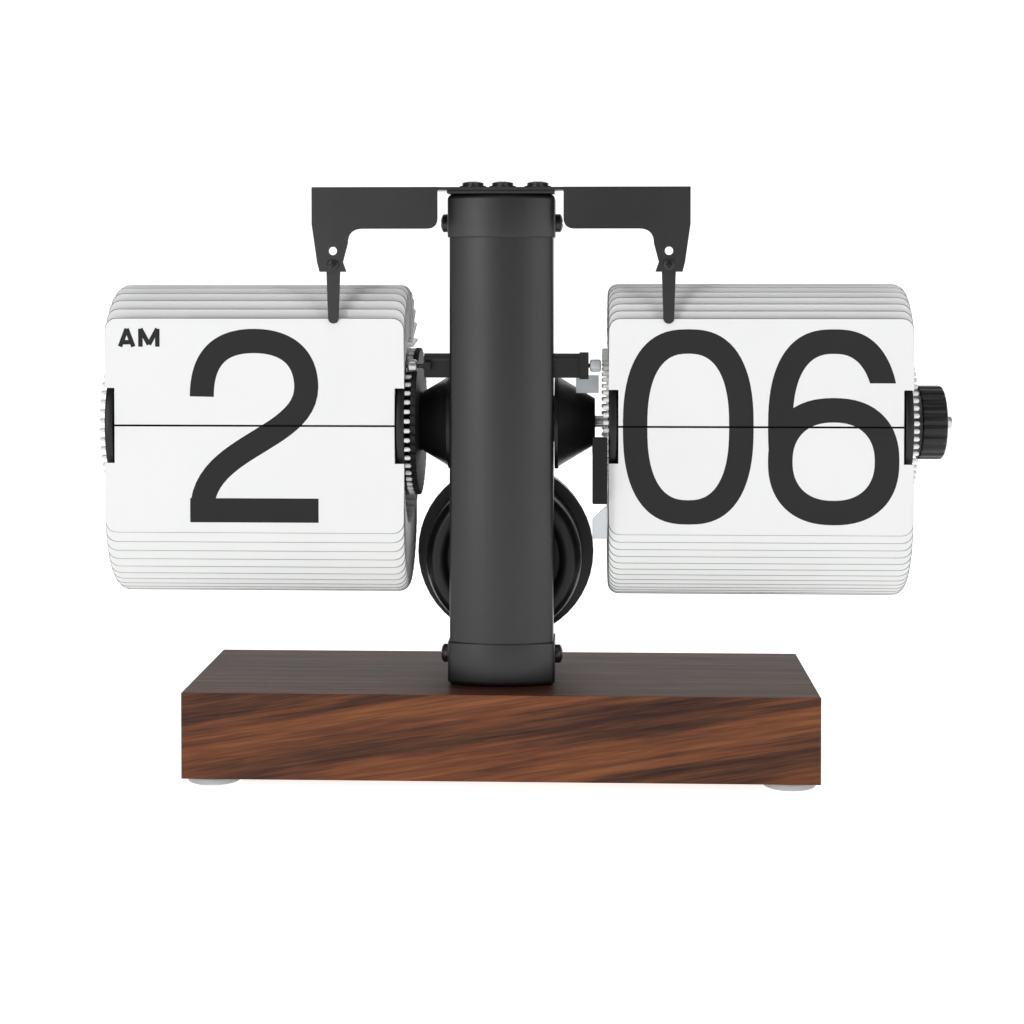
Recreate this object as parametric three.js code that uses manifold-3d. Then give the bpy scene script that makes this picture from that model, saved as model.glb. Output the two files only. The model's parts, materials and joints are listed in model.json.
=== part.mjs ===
// Flip number clock: a black column on a walnut block, with an hour drum on its left and a
// minute drum on its right. Millimetres, +Z up, front towards -Y. The outer group moves the
// clock so that its origin is the bottom centre of its bounding box.
import * as THREE from 'three';
import { mergeVertices } from 'three/addons/utils/BufferGeometryUtils.js';
import Module from 'manifold-3d';

const wasm = await Module();
wasm.setup();

// ---- driving dimensions -------------------------------------------------------------------
const SEAT = 0.05; // gap between pieces that are seated on each other
const FIT = 0.3; // gap round an axle, a screw or a piece let into another

const BASE = { width: 257.5, depth: 90, height: 35 };
const FOOT = { radius: 11, height: 3, inset: 0.5 };
const AXIS_ABOVE_BASE = 107;
const COLUMN = { width: 42.7, depth: 24, bow: 5, aboveAxis: 95, wall: 2 };
const CAP = { height: 17.7, proud: 0.75, spigot: 7, bevel: 1.2 };
const BOLT = { radius: 3, headRadius: 6.5, headHeight: 4.5, washerRadius: 8, washer: 1.2, grip: 12 };
const SIDE_SCREW = { radius: 3.8, height: 3.2, fromCapEnd: 6 };

const LEAF = { width: 123.5, reach: 44.2, thickness: 0.4, notch: 4, notchHeight: 13.5, corner: 4.5 };
const LEAF_LIFT = 0.27; // how far the waiting leaves stand off the tangent, in radians
const PIVOT_RADIUS = 30;
const SPLIT_GAP = 0.8; // dark line between the upper and the lower front leaf
const columnHalf = COLUMN.width / 2;
const HOURS = { leaves: 48, inner: -columnHalf - 18.15, side: -1 };
const MINUTES = { leaves: 60, inner: columnHalf + 22.65, side: 1 };
const DISC = { radius: PIVOT_RADIUS + 1.4, thickness: 3.2, rim: 0.4 };
const CORE_RADIUS = PIVOT_RADIUS - 2.5;
const PACK_GAP = 1; // between the pivot circle and the inside of the standing leaf packs
const AXLE_RADIUS = 2.5;

const STEP_WHEEL_RADIUS = PIVOT_RADIUS + 1.2;
const STEP_WHEEL = { tooth: 1.6, thickness: 2.2, fromDrum: 2.3, hub: 15, eye: 12.5 };
const BELL = { wide: 20, narrow: 10, length: 17 };
const KNOB = { radius: 15.6, width: 10.7, flutes: 30, depth: 0.9, fromDrum: 6.3, stub: 3.8 };

const ARM_START = columnHalf + 4.25;
const ARM = { pastLobe: 8.7, web: 17, thickness: 1.2, flange: 14.5, corner: 4.5, fillet: 6 };
const LOBE_CENTRE = columnHalf + 46.95;
const LOBE = { wide: 8.2, narrow: 5.5, drop: 17.5, hole: 1.7, holeDown: 9, screwDown: 14.6 };
const ARM_RISE = 2.6; // top of the bracket above the top of the column
const FINGER = { width: 6.1, tip: 4.4, thickness: 0.6, overlap: 2.2 };
const PAD = { width: COLUMN.width + 1.3, depth: 12, thickness: 1 };
const BRACKET_SCREW = { x: [-11.6, 0.6, 15], head: 4.4, height: 2, washer: 5.5, washerHeight: 0.6 };
const FINGER_SCREW = { radius: 2.3, height: 1.1 };

const ROCKER_HALF = columnHalf + 10.65;
const ROCKER_Y = 10 - PIVOT_RADIUS;
const ROCKER = { depth: 4, height: 10, aboveAxis: 24.5, pin: 1.8, swing: 1.9 };
const T_END = { width: 3.8, depth: 6, height: 11 };
const ROLLER = { radius: 2.6, width: 4, clearance: 1, out: columnHalf + 15.65 };

const HOUSING = { radius: 33, rim: 38.2, wall: 2, joint: 20, back: 44, belowAxis: 58 };
const BATTERY = { radius: 13.1, length: 50, y: 24, nub: 3, nubRadius: 3 };
const LID = { width: 55, height: 31, thickness: 2 };
const SPRING = { radius: 5, tip: 3, length: 4 };
const MOTOR = { radius: 6, length: 21, shaft: 1.2 };
const GEAR = { module: 0.8, teeth: 24, pinion: 12, width: 4, x: 8, angle: 45 };
const BRIDGE = { thickness: 2.4, height: 20, y: 16.6 };
const STOP = { width: 6, depth: 4.2, height: 27, below: 4 };

// ---- places worked out from them ----------------------------------------------------------
const baseTop = FOOT.height + BASE.height;
const axisZ = baseTop + AXIS_ABOVE_BASE;
const columnTop = axisZ + COLUMN.aboveAxis;
const columnFront = -PIVOT_RADIUS;
const columnBack = columnFront + COLUMN.depth;
const bracketTop = columnTop + ARM_RISE;
const webBottom = bracketTop - ARM.web;
const webFront = columnFront - 2.8;
const armReach = LOBE_CENTRE + ARM.pastLobe;
const boreRadius = AXLE_RADIUS + FIT;
const rollerReach = STEP_WHEEL_RADIUS + ROLLER.radius + ROLLER.clearance;
const rollerY = -Math.sqrt(rollerReach ** 2 - ROCKER.aboveAxis ** 2);
const housingZ = axisZ - HOUSING.belowAxis;
const bellStart = columnHalf + FIT;
const knobStart = MINUTES.inner + LEAF.width + KNOB.fromDrum;
const axleEnd = knobStart + KNOB.width + KNOB.stub;
const hourEnd = HOURS.inner - LEAF.width;

// ---- materials ----------------------------------------------------------------------------
const finish = (color, roughness, metalness = 0) =>
  new THREE.MeshStandardMaterial({ color, roughness, metalness });
const WALNUT = finish('#6b4330', 0.55);
const SATIN_BLACK = finish('#2c2b2b', 0.45);
const BLACK_PLASTIC = finish('#1e1e1e', 0.4);
const LEAF_WHITE = finish('#eeefee', 0.5);
const STEEL = finish('#b9babb', 0.3, 1);
const BRASS = finish('#b08d4a', 0.35, 1);
const SILICONE = finish('#c9cbcc', 0.5);
const CLEAR_PLASTIC = finish('#c4d0d8', 0.25);
const CELL_SLEEVE = finish('#31485f', 0.4);

// ---- solids -------------------------------------------------------------------------------
// A closed geometry as a manifold solid, turned outwards if its profile ran the other way.
function solid(geometry) {
  const bare = geometry.index ? geometry.clone() : geometry;
  bare.deleteAttribute('normal');
  bare.deleteAttribute('uv');
  const merged = mergeVertices(bare, 1e-4);
  const p = merged.attributes.position.array;
  const index = merged.index.array;
  const faces = [];
  let volume = 0;
  for (let i = 0; i < index.length; i += 3) {
    const [a, b, c] = [index[i], index[i + 1], index[i + 2]];
    if (a === b || b === c || c === a) continue;
    faces.push([a, b, c]);
    const [u, v, w] = [a, b, c].map((k) => new THREE.Vector3().fromArray(p, 3 * k));
    volume += u.dot(v.cross(w));
  }
  const order = volume < 0 ? ([a, b, c]) => [a, c, b] : (face) => face;
  return new wasm.Manifold(new wasm.Mesh({
    numProp: 3,
    vertProperties: new Float32Array(p),
    triVerts: new Uint32Array(faces.flatMap(order)),
  }));
}

const join = (first, ...rest) => rest.reduce((sum, next) => sum.add(next), first);
const cut = (body, ...tools) => tools.reduce((left, tool) => left.subtract(tool), body);

function box(x0, x1, y0, y1, z0, z1) {
  const geometry = new THREE.BoxGeometry(x1 - x0, y1 - y0, z1 - z0);
  return solid(geometry.translate((x0 + x1) / 2, (y0 + y1) / 2, (z0 + z1) / 2));
}

const extrude = (shape, depth, options = {}) =>
  new THREE.ExtrudeGeometry(shape, { depth, bevelEnabled: false, curveSegments: 8, ...options });

// A plan outline (x, y) raised from z.
const raised = (shape, z, height, options) => solid(extrude(shape, height, options).translate(0, 0, z));

// A front outline (x, z), from y backwards through a thickness.
const facing = (shape, y, thickness) =>
  solid(extrude(shape, thickness).rotateX(Math.PI / 2).translate(0, y + thickness, 0));

// A side outline (y, z), from x through a width.
function sideways(shape, x, width) {
  const turn = new THREE.Matrix4().makeBasis(
    new THREE.Vector3(0, 1, 0), new THREE.Vector3(0, 0, 1), new THREE.Vector3(1, 0, 0));
  return solid(extrude(shape, width).applyMatrix4(turn).translate(x, 0, 0));
}

// A profile of [distance along the axis, radius], turned about an axis through a point.
function turned(axis, profile, [x, y, z], segments = 32) {
  const points = profile.map(([along, radius]) => new THREE.Vector2(radius, along));
  const geometry = new THREE.LatheGeometry(points, segments);
  if (axis === 'x') geometry.rotateZ(-Math.PI / 2);
  if (axis === 'z') geometry.rotateX(Math.PI / 2);
  return solid(geometry.translate(x, y, z));
}

const rod = (axis, from, to, radius, at, segments) =>
  turned(axis, [[from, 0], [from, radius], [to, radius], [to, 0]], at, segments);

const ring = (axis, from, to, inner, outer, at, segments) =>
  turned(axis, [[from, inner], [from, outer], [to, outer], [to, inner], [from, inner]], at, segments);

const onAxis = [0, 0, axisZ];

// ---- assembly -----------------------------------------------------------------------------
const clock = new THREE.Group();
const centred = new THREE.Group();
clock.add(centred);

function piece(name, body, material) {
  const { vertProperties, triVerts } = body.getMesh();
  const geometry = new THREE.BufferGeometry();
  geometry.setAttribute('position', new THREE.BufferAttribute(vertProperties, 3));
  geometry.setIndex(new THREE.BufferAttribute(triVerts, 1));
  geometry.computeVertexNormals();
  const mesh = new THREE.Mesh(geometry, material);
  mesh.name = name;
  centred.add(mesh);
}

// ---- base and feet ------------------------------------------------------------------------
const boltY = (columnFront + columnBack) / 2;
const boltSeat = FOOT.height + BOLT.headHeight + BOLT.washer + 2;

function base() {
  const block = box(-BASE.width / 2, BASE.width / 2, -BASE.depth / 2, BASE.depth / 2, FOOT.height, baseTop);
  const shank = rod('z', FOOT.height - 1, baseTop + 1, BOLT.radius + FIT, [0, boltY, 0]);
  const pocket = rod('z', FOOT.height - 1, boltSeat, BOLT.washerRadius + FIT, [0, boltY, 0]);
  piece('wood_base', cut(block, shank, pocket), WALNUT);
  for (const [row, sy] of [['front', -1], ['rear', 1]]) {
    for (const [hand, sx] of [['left', -1], ['right', 1]]) {
      const x = sx * (BASE.width / 2 - FOOT.radius - FOOT.inset);
      const y = sy * (BASE.depth / 2 - FOOT.radius - FOOT.inset);
      piece(`foot_pad_${row}_${hand}`, rod('z', 0, FOOT.height, FOOT.radius, [x, y, 0]), SILICONE);
    }
  }
  const washerZ = boltSeat - BOLT.washer - SEAT;
  const at = [0, boltY, 0];
  piece('base_washer', ring('z', washerZ, boltSeat - SEAT, BOLT.radius + FIT, BOLT.washerRadius, at), STEEL);
  const headTop = washerZ - SEAT;
  piece('base_bolt', join(
    rod('z', headTop - BOLT.headHeight, headTop, BOLT.headRadius, at, 6),
    rod('z', headTop - 0.5, baseTop + BOLT.grip, BOLT.radius, at)), STEEL);
}

// ---- column -------------------------------------------------------------------------------
// The column's plan: flat sides and back, and a front that bows forward.
function columnPlan(grow) {
  const half = columnHalf + grow;
  const front = columnFront - grow;
  const shoulder = front + COLUMN.bow;
  const shape = new THREE.Shape();
  shape.moveTo(-half, columnBack + grow);
  shape.lineTo(-half, shoulder);
  shape.quadraticCurveTo(0, 2 * front - shoulder, half, shoulder);
  shape.lineTo(half, columnBack + grow);
  shape.closePath();
  return shape;
}

function column() {
  const low = baseTop + CAP.height;
  const high = columnTop - CAP.height;
  const inside = -COLUMN.wall;
  const hollow = join(
    raised(columnPlan(inside), low - 1, high - low + 2),
    box(-columnHalf - inside, columnHalf + inside, boltY, columnBack + 1, low - 1, high + 1));
  const slotZ = axisZ + ROCKER.aboveAxis;
  const slotHalf = T_END.height / 2 + ROCKER.swing + 1;
  const slot = box(-columnHalf - 1, columnHalf + 1, ROCKER_Y - T_END.depth / 2 - 0.6,
    ROCKER_Y + T_END.depth / 2 + 0.6, slotZ - slotHalf, slotZ + slotHalf);
  const tube = raised(columnPlan(0), low + SEAT, high - low - 2 * SEAT);
  piece('column_shell', cut(tube, hollow, slot), SATIN_BLACK);

  const bevel = { bevelEnabled: true, bevelThickness: CAP.bevel, bevelSize: CAP.bevel, bevelSegments: 2 };
  const capPlan = columnPlan(CAP.proud - CAP.bevel);
  const block = (z) => raised(capPlan, z + CAP.bevel, CAP.height - 2 * CAP.bevel, bevel);
  const spigot = (z) => raised(columnPlan(inside - FIT), z, CAP.spigot + 0.5);
  const boltHole = rod('z', baseTop - 1, baseTop + BOLT.grip + 1, BOLT.radius + FIT, [0, boltY, 0]);
  piece('column_top_cap', join(block(high), spigot(high - CAP.spigot)), SATIN_BLACK);
  piece('column_bottom_cap', cut(join(block(baseTop), spigot(low - 0.5)), boltHole), SATIN_BLACK);

  for (const [place, z] of [['top', high + SIDE_SCREW.fromCapEnd], ['bottom', low - SIDE_SCREW.fromCapEnd]]) {
    for (const [hand, side] of [['left', -1], ['right', 1]]) {
      const start = side * (columnHalf + CAP.proud + SEAT);
      const head = [[start, 0], [start, SIDE_SCREW.radius],
        [start + side * SIDE_SCREW.height * 0.6, SIDE_SCREW.radius],
        [start + side * SIDE_SCREW.height, SIDE_SCREW.radius * 0.6], [start + side * SIDE_SCREW.height, 0]];
      piece(`side_screw_${place}_${hand}`, turned('x', head, [0, boltY, z], 20), STEEL);
    }
  }
}

// ---- arms and fingers ---------------------------------------------------------------------
// One arm's front outline: a bar whose lower edge runs through a fillet into a tapered lobe.
function armOutline(side) {
  const shape = new THREE.Shape();
  const lobeWide = LOBE.wide / 2 + 2;
  const inner = LOBE_CENTRE - lobeWide;
  const outer = armReach;
  const lobeEnd = webBottom - LOBE.drop;
  shape.moveTo(side * ARM_START, bracketTop);
  shape.lineTo(side * ARM_START, webBottom + ARM.corner);
  shape.quadraticCurveTo(side * ARM_START, webBottom, side * (ARM_START + ARM.corner), webBottom);
  shape.lineTo(side * (inner - ARM.fillet), webBottom);
  shape.quadraticCurveTo(side * inner, webBottom, side * inner, webBottom - ARM.fillet);
  shape.lineTo(side * (LOBE_CENTRE - LOBE.wide / 2), lobeEnd + 4);
  shape.lineTo(side * (LOBE_CENTRE - LOBE.narrow), lobeEnd);
  shape.lineTo(side * (LOBE_CENTRE + LOBE.narrow), lobeEnd);
  shape.lineTo(side * (LOBE_CENTRE + LOBE.narrow + 1), lobeEnd + 4);
  shape.lineTo(side * outer, webBottom + 2);
  shape.lineTo(side * outer, bracketTop);
  shape.closePath();
  return shape;
}

const fingerTop = webBottom - LOBE.holeDown - LOBE.hole - 1;
const fingerTip = axisZ + LEAF.reach - FINGER.overlap;

function pivotRise(drum) {
  return PIVOT_RADIUS * Math.sin(Math.PI / drum.leaves);
}

function fingerOutline(side) {
  const x = side * LOBE_CENTRE;
  const half = FINGER.width / 2;
  const tip = FINGER.tip / 2;
  const shape = new THREE.Shape();
  shape.moveTo(x - half, fingerTop);
  shape.lineTo(x - tip, fingerTip + tip);
  shape.absarc(x, fingerTip + tip, tip, Math.PI, 2 * Math.PI, false);
  shape.lineTo(x + half, fingerTop);
  shape.closePath();
  return shape;
}

function bracket() {
  const arm = (side) => {
    const [x0, x1] = [side * ARM_START, side * armReach].sort((a, b) => a - b);
    return join(
      facing(armOutline(side), webFront, ARM.thickness),
      box(x0, x1, webFront, webFront + ARM.flange, bracketTop - ARM.thickness, bracketTop));
  };
  const strip = box(-ARM_START - 1, ARM_START + 1, webFront + 1, webFront + ARM.flange,
    bracketTop - ARM.thickness, bracketTop);
  const holes = [-1, 1].flatMap((side) => [
    rod('y', webFront - 1, webFront + 3, LOBE.hole, [side * LOBE_CENTRE, 0, webBottom - LOBE.holeDown], 20),
    rod('y', webFront - 1, webFront + 3, FINGER_SCREW.radius * 0.6 + FIT,
      [side * LOBE_CENTRE, 0, webBottom - LOBE.screwDown], 20)]);
  const screwY = webFront + ARM.flange / 2 + 1;
  const screwHole = (x) => rod('z', columnTop - 1, bracketTop + 1, 1.5 + FIT, [x, screwY, 0], 16);
  const screwHoles = BRACKET_SCREW.x.map(screwHole);
  piece('arm_bracket', cut(join(strip, arm(-1), arm(1)), ...holes, ...screwHoles), SATIN_BLACK);

  const padTop = bracketTop - ARM.thickness - SEAT;
  const pad = box(-PAD.width / 2, PAD.width / 2, screwY - PAD.depth / 2, screwY + PAD.depth / 2,
    columnTop + SEAT, padTop);
  piece('pad_plate', cut(pad, ...screwHoles), SATIN_BLACK);

  // Each screw carries its own washer under the head.
  BRACKET_SCREW.x.forEach((x, i) => {
    const low = bracketTop + SEAT;
    const face = low + BRACKET_SCREW.washerHeight;
    const high = face + BRACKET_SCREW.height;
    const { head, washer, height } = BRACKET_SCREW;
    const profile = [[columnTop + 0.3, 0], [columnTop + 0.3, 1.5], [low, 1.5], [low, washer], [face, washer],
      [face, head], [face + height * 0.6, head], [high, head * 0.6], [high, 0]];
    piece(`bracket_screw_${i + 1}`, turned('z', profile, [x, screwY, 0], 24), STEEL);
  });

  for (const [name, side] of [['hour', -1], ['minute', 1]]) {
    const back = webFront + ARM.thickness + SEAT;
    const x = side * LOBE_CENTRE;
    const screwZ = webBottom - LOBE.screwDown;
    const hole = rod('y', back - 1, back + 2, FINGER_SCREW.radius * 0.6 + FIT, [x, 0, screwZ], 20);
    piece(`${name}_finger`, cut(facing(fingerOutline(side), back, FINGER.thickness), hole), SATIN_BLACK);
    const front = webFront - SEAT;
    const crown = front - FINGER_SCREW.height;
    const shank = FINGER_SCREW.radius * 0.6;
    const inner = back + FINGER.thickness;
    const profile = [[crown, 0], [crown, shank], [(crown + front) / 2, FINGER_SCREW.radius],
      [front, FINGER_SCREW.radius], [front, shank], [inner, shank], [inner, 0]];
    piece(`${name}_finger_screw`, turned('y', profile, [x, 0, screwZ], 20), STEEL);
  }
}

// ---- leaves -------------------------------------------------------------------------------
const pitch = (drum) => (2 * Math.PI) / drum.leaves;
const outerEnd = (drum) => drum.inner + drum.side * LEAF.width;
const drumSpan = (drum, inset) => {
  const [low, high] = [drum.inner, outerEnd(drum)].sort((a, b) => a - b);
  return [low + inset, high - inset];
};

// A leaf's front outline, from its tail at the split to its rounded free corners. The ends are
// notched beside the pivot, so that the leaf clears the two discs. way is 1 up and -1 down.
function leafOutline(drum, way) {
  const [left, right] = drumSpan(drum, 0);
  const rise = pivotRise(drum);
  const z = (s) => axisZ + way * (rise + s);
  const tail = -rise + SPLIT_GAP / 2;
  const { notch, notchHeight, reach, corner } = LEAF;
  const top = reach - rise;
  const shape = new THREE.Shape();
  shape.moveTo(left + notch, z(tail));
  shape.lineTo(right - notch, z(tail));
  shape.lineTo(right - notch, z(notchHeight));
  shape.lineTo(right, z(notchHeight));
  shape.lineTo(right, z(top - corner));
  shape.quadraticCurveTo(right, z(top), right - corner, z(top));
  shape.lineTo(left + corner, z(top));
  shape.quadraticCurveTo(left, z(top), left, z(top - corner));
  shape.lineTo(left, z(notchHeight));
  shape.lineTo(left + notch, z(notchHeight));
  shape.closePath();
  return shape;
}

const around = (radius, angle) => [-radius * Math.cos(angle), axisZ + radius * Math.sin(angle)];

// An arc about (0, centreZ) in the side view, as the corners of a polygon.
function arc(shape, radius, from, to, dropBy = 0, steps = 20) {
  for (let i = 0; i <= steps; i += 1) {
    const [y, z] = around(radius, from + ((to - from) * i) / steps);
    if (shape.currentPoint.length() === 0) shape.moveTo(y, z - dropBy);
    else shape.lineTo(y, z - dropBy);
  }
}

// The point a distance along the waiting leaf whose pivot is at an angle round the drum. In the
// front half such a leaf stands steeper than the tangent, held up by the ones before it.
function alongWaiting(angle, distance) {
  const [y, z] = around(PIVOT_RADIUS, angle);
  const lift = angle < Math.PI / 2 ? LEAF_LIFT * Math.sin(2 * angle) : 0;
  return [y + distance * Math.sin(angle - lift), z + distance * Math.cos(angle - lift)];
}

// The outline of the waiting leaves: round their tips, from the second leaf to the one that
// hangs at the rear, and back along the points where they start.
function upperPackOutline(drum, start) {
  const first = 1.5 * pitch(drum);
  const steps = 30;
  const angles = Array.from({ length: steps + 1 }, (_, i) => first + ((Math.PI - first) * i) / steps);
  const tips = angles.map((angle) => alongWaiting(angle, LEAF.reach - pivotRise(drum)));
  const roots = angles.map((angle) => (
    start > 0 ? alongWaiting(angle, start) : around(PIVOT_RADIUS - PACK_GAP, angle)));
  return new THREE.Shape([...tips, ...roots.reverse()].map(([y, z]) => new THREE.Vector2(y, z)));
}

// The used leaves hang straight down from the lower half of the pivot circle.
function lowerPackOutline(drum, start) {
  const first = -1.5 * pitch(drum);
  const last = -Math.PI + 2.5 * pitch(drum);
  const inner = start > 0 ? PIVOT_RADIUS : PIVOT_RADIUS - PACK_GAP;
  const shape = new THREE.Shape();
  arc(shape, PIVOT_RADIUS, first, last, LEAF.reach - pivotRise(drum));
  arc(shape, inner, last, first, start);
  shape.closePath();
  return shape;
}

function leaves(name, drum) {
  const front = -PIVOT_RADIUS * Math.cos(pitch(drum) / 2) - LEAF.thickness / 2;
  piece(`${name}_upper_leaf`, facing(leafOutline(drum, 1), front, LEAF.thickness), LEAF_WHITE);
  piece(`${name}_lower_leaf`, facing(leafOutline(drum, -1), front, LEAF.thickness), LEAF_WHITE);
  for (const [place, outline] of [['upper', upperPackOutline], ['lower', lowerPackOutline]]) {
    const [narrowLow, narrowHigh] = drumSpan(drum, LEAF.notch);
    const [wideLow, wideHigh] = drumSpan(drum, 0);
    piece(`${name}_${place}_pack`, join(
      sideways(outline(drum, 0), narrowLow, narrowHigh - narrowLow),
      sideways(outline(drum, LEAF.notchHeight), wideLow, wideHigh - wideLow)), LEAF_WHITE);
  }
}

// ---- drums --------------------------------------------------------------------------------
function drumParts(name, drum) {
  const [low, high] = drumSpan(drum, 0);
  const edge = DISC.rim;
  const disc = (from) => {
    const to = from + DISC.thickness;
    return turned('x', [[from, boreRadius], [from, DISC.radius - edge], [from + edge, DISC.radius],
      [to - edge, DISC.radius], [to, DISC.radius - edge], [to, boreRadius], [from, boreRadius]], onAxis, 40);
  };
  const [left, right] = [low + SEAT, high - SEAT - DISC.thickness];
  const [inner, outer] = drum.side > 0 ? [left, right] : [right, left];
  piece(`${name}_disc_inner`, disc(inner), BLACK_PLASTIC);
  piece(`${name}_disc_outer`, disc(outer), BLACK_PLASTIC);
  const coreFrom = left + DISC.thickness + SEAT;
  const core = ring('x', coreFrom, right - SEAT, boreRadius, CORE_RADIUS, onAxis, 32);
  piece(`${name}_drum_core`, core, BLACK_PLASTIC);
}

// A wheel's side outline with saw teeth, about (0, axisZ).
function sawWheel(teeth, radius, tooth) {
  const shape = new THREE.Shape();
  for (let i = 0; i < teeth; i += 1) {
    const [y, z] = around(radius, (2 * Math.PI * i) / teeth);
    const [yRoot, zRoot] = around(radius - tooth, (2 * Math.PI * (i + 0.15)) / teeth);
    if (i === 0) shape.moveTo(y, z);
    else shape.lineTo(y, z);
    shape.lineTo(yRoot, zRoot);
  }
  shape.closePath();
  return shape;
}

function hourDrum() {
  drumParts('hour', HOURS);
  const wheelLow = HOURS.inner + STEP_WHEEL.fromDrum;
  const eye = rod('x', HOURS.inner - 1, 0, STEP_WHEEL.eye, onAxis);
  const hub = rod('x', HOURS.inner + SEAT, wheelLow + 1, STEP_WHEEL.hub, onAxis);
  const saw = sawWheel(HOURS.leaves, STEP_WHEEL_RADIUS, STEP_WHEEL.tooth);
  const teeth = sideways(saw, wheelLow, STEP_WHEEL.thickness);
  piece('hour_step_wheel', cut(join(teeth, hub), eye), BLACK_PLASTIC);
  piece('hour_axle', rod('x', hourEnd, -2, AXLE_RADIUS, onAxis, 24), STEEL);
}

// A gear's side outline: teeth narrower than their gaps, so that the pair runs with backlash.
function gearOutline(teeth, centreY, centreZ, phase) {
  const m = GEAR.module;
  const pitchRadius = (teeth * m) / 2;
  const shape = new THREE.Shape();
  const corners = [[-0.23, -1.15], [-0.1, 0.75], [0.1, 0.75], [0.23, -1.15]];
  for (let i = 0; i < teeth; i += 1) {
    corners.forEach(([turn, height], k) => {
      const angle = phase + (2 * Math.PI * (i + turn)) / teeth;
      const radius = pitchRadius + height * m;
      const [y, z] = [centreY + radius * Math.cos(angle), centreZ + radius * Math.sin(angle)];
      if (i === 0 && k === 0) shape.moveTo(y, z);
      else shape.lineTo(y, z);
    });
  }
  shape.closePath();
  return shape;
}

const gearDistance = (GEAR.module * (GEAR.teeth + GEAR.pinion)) / 2;
const gearAngle = THREE.MathUtils.degToRad(-GEAR.angle);
const pinionY = gearDistance * Math.cos(gearAngle);
const pinionZ = axisZ + gearDistance * Math.sin(gearAngle);

function minuteDrum() {
  drumParts('minute', MINUTES);
  piece('minute_axle', rod('x', 2, axleEnd, AXLE_RADIUS, onAxis, 24), STEEL);
  const gear = sideways(gearOutline(GEAR.teeth, 0, axisZ, gearAngle), GEAR.x, GEAR.width);
  const gearBore = rod('x', GEAR.x - 1, GEAR.x + GEAR.width + 1, boreRadius, onAxis, 24);
  piece('minute_gear', cut(gear, gearBore), BRASS);

  const flutes = new THREE.Shape();
  const steps = KNOB.flutes * 2;
  for (let i = 0; i < steps; i += 1) {
    const [y, z] = around(KNOB.radius - (i % 2) * KNOB.depth, (2 * Math.PI * i) / steps);
    if (i === 0) flutes.moveTo(y, z);
    else flutes.lineTo(y, z);
  }
  flutes.closePath();
  const end = knobStart + KNOB.width;
  const dome = turned('x', [[knobStart - 1, 0], [knobStart - 1, KNOB.radius + 1],
    [end - 2.5, KNOB.radius + 0.2], [end - 0.8, KNOB.radius - 1.6], [end, KNOB.radius - 5], [end, 0]], onAxis, 40);
  const bore = rod('x', knobStart - 2, end + 1, boreRadius, onAxis, 24);
  const grip = sideways(flutes, knobStart, KNOB.width);
  piece('setting_knob', cut(grip.intersect(dome), bore), BLACK_PLASTIC);
}

// ---- bells, bridge and motor --------------------------------------------------------------
function bells() {
  for (const [name, side] of [['hour', -1], ['minute', 1]]) {
    const bellEnd = bellStart + BELL.length;
    const bellBore = boreRadius + FIT;
    const profile = [[bellStart, bellBore], [bellStart, BELL.wide], [bellEnd, BELL.narrow],
      [bellEnd, bellBore], [bellStart, bellBore]];
    const outward = profile.map(([along, radius]) => [side * along, radius]);
    piece(`${name}_bell`, turned('x', outward, onAxis, 28), BLACK_PLASTIC);
  }
  piece('rear_bridge', box(-bellStart + SEAT, bellStart - SEAT, BRIDGE.y, BRIDGE.y + BRIDGE.thickness,
    axisZ - BRIDGE.height / 2, axisZ + BRIDGE.height / 2), STEEL);
  const motorEnd = GEAR.x - 2;
  const at = [0, pinionY, pinionZ];
  piece('motor', join(
    rod('x', motorEnd - MOTOR.length, motorEnd, MOTOR.radius, at),
    rod('x', motorEnd - 1, GEAR.x + GEAR.width, MOTOR.shaft, at, 16)), STEEL);
  const phase = gearAngle + Math.PI + Math.PI / GEAR.pinion;
  const pinion = sideways(gearOutline(GEAR.pinion, pinionY, pinionZ, phase), GEAR.x, GEAR.width);
  const pinionBore = rod('x', GEAR.x - 1, GEAR.x + GEAR.width + 1, MOTOR.shaft + FIT, at, 16);
  piece('motor_pinion', cut(pinion, pinionBore), BRASS);
}

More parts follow.
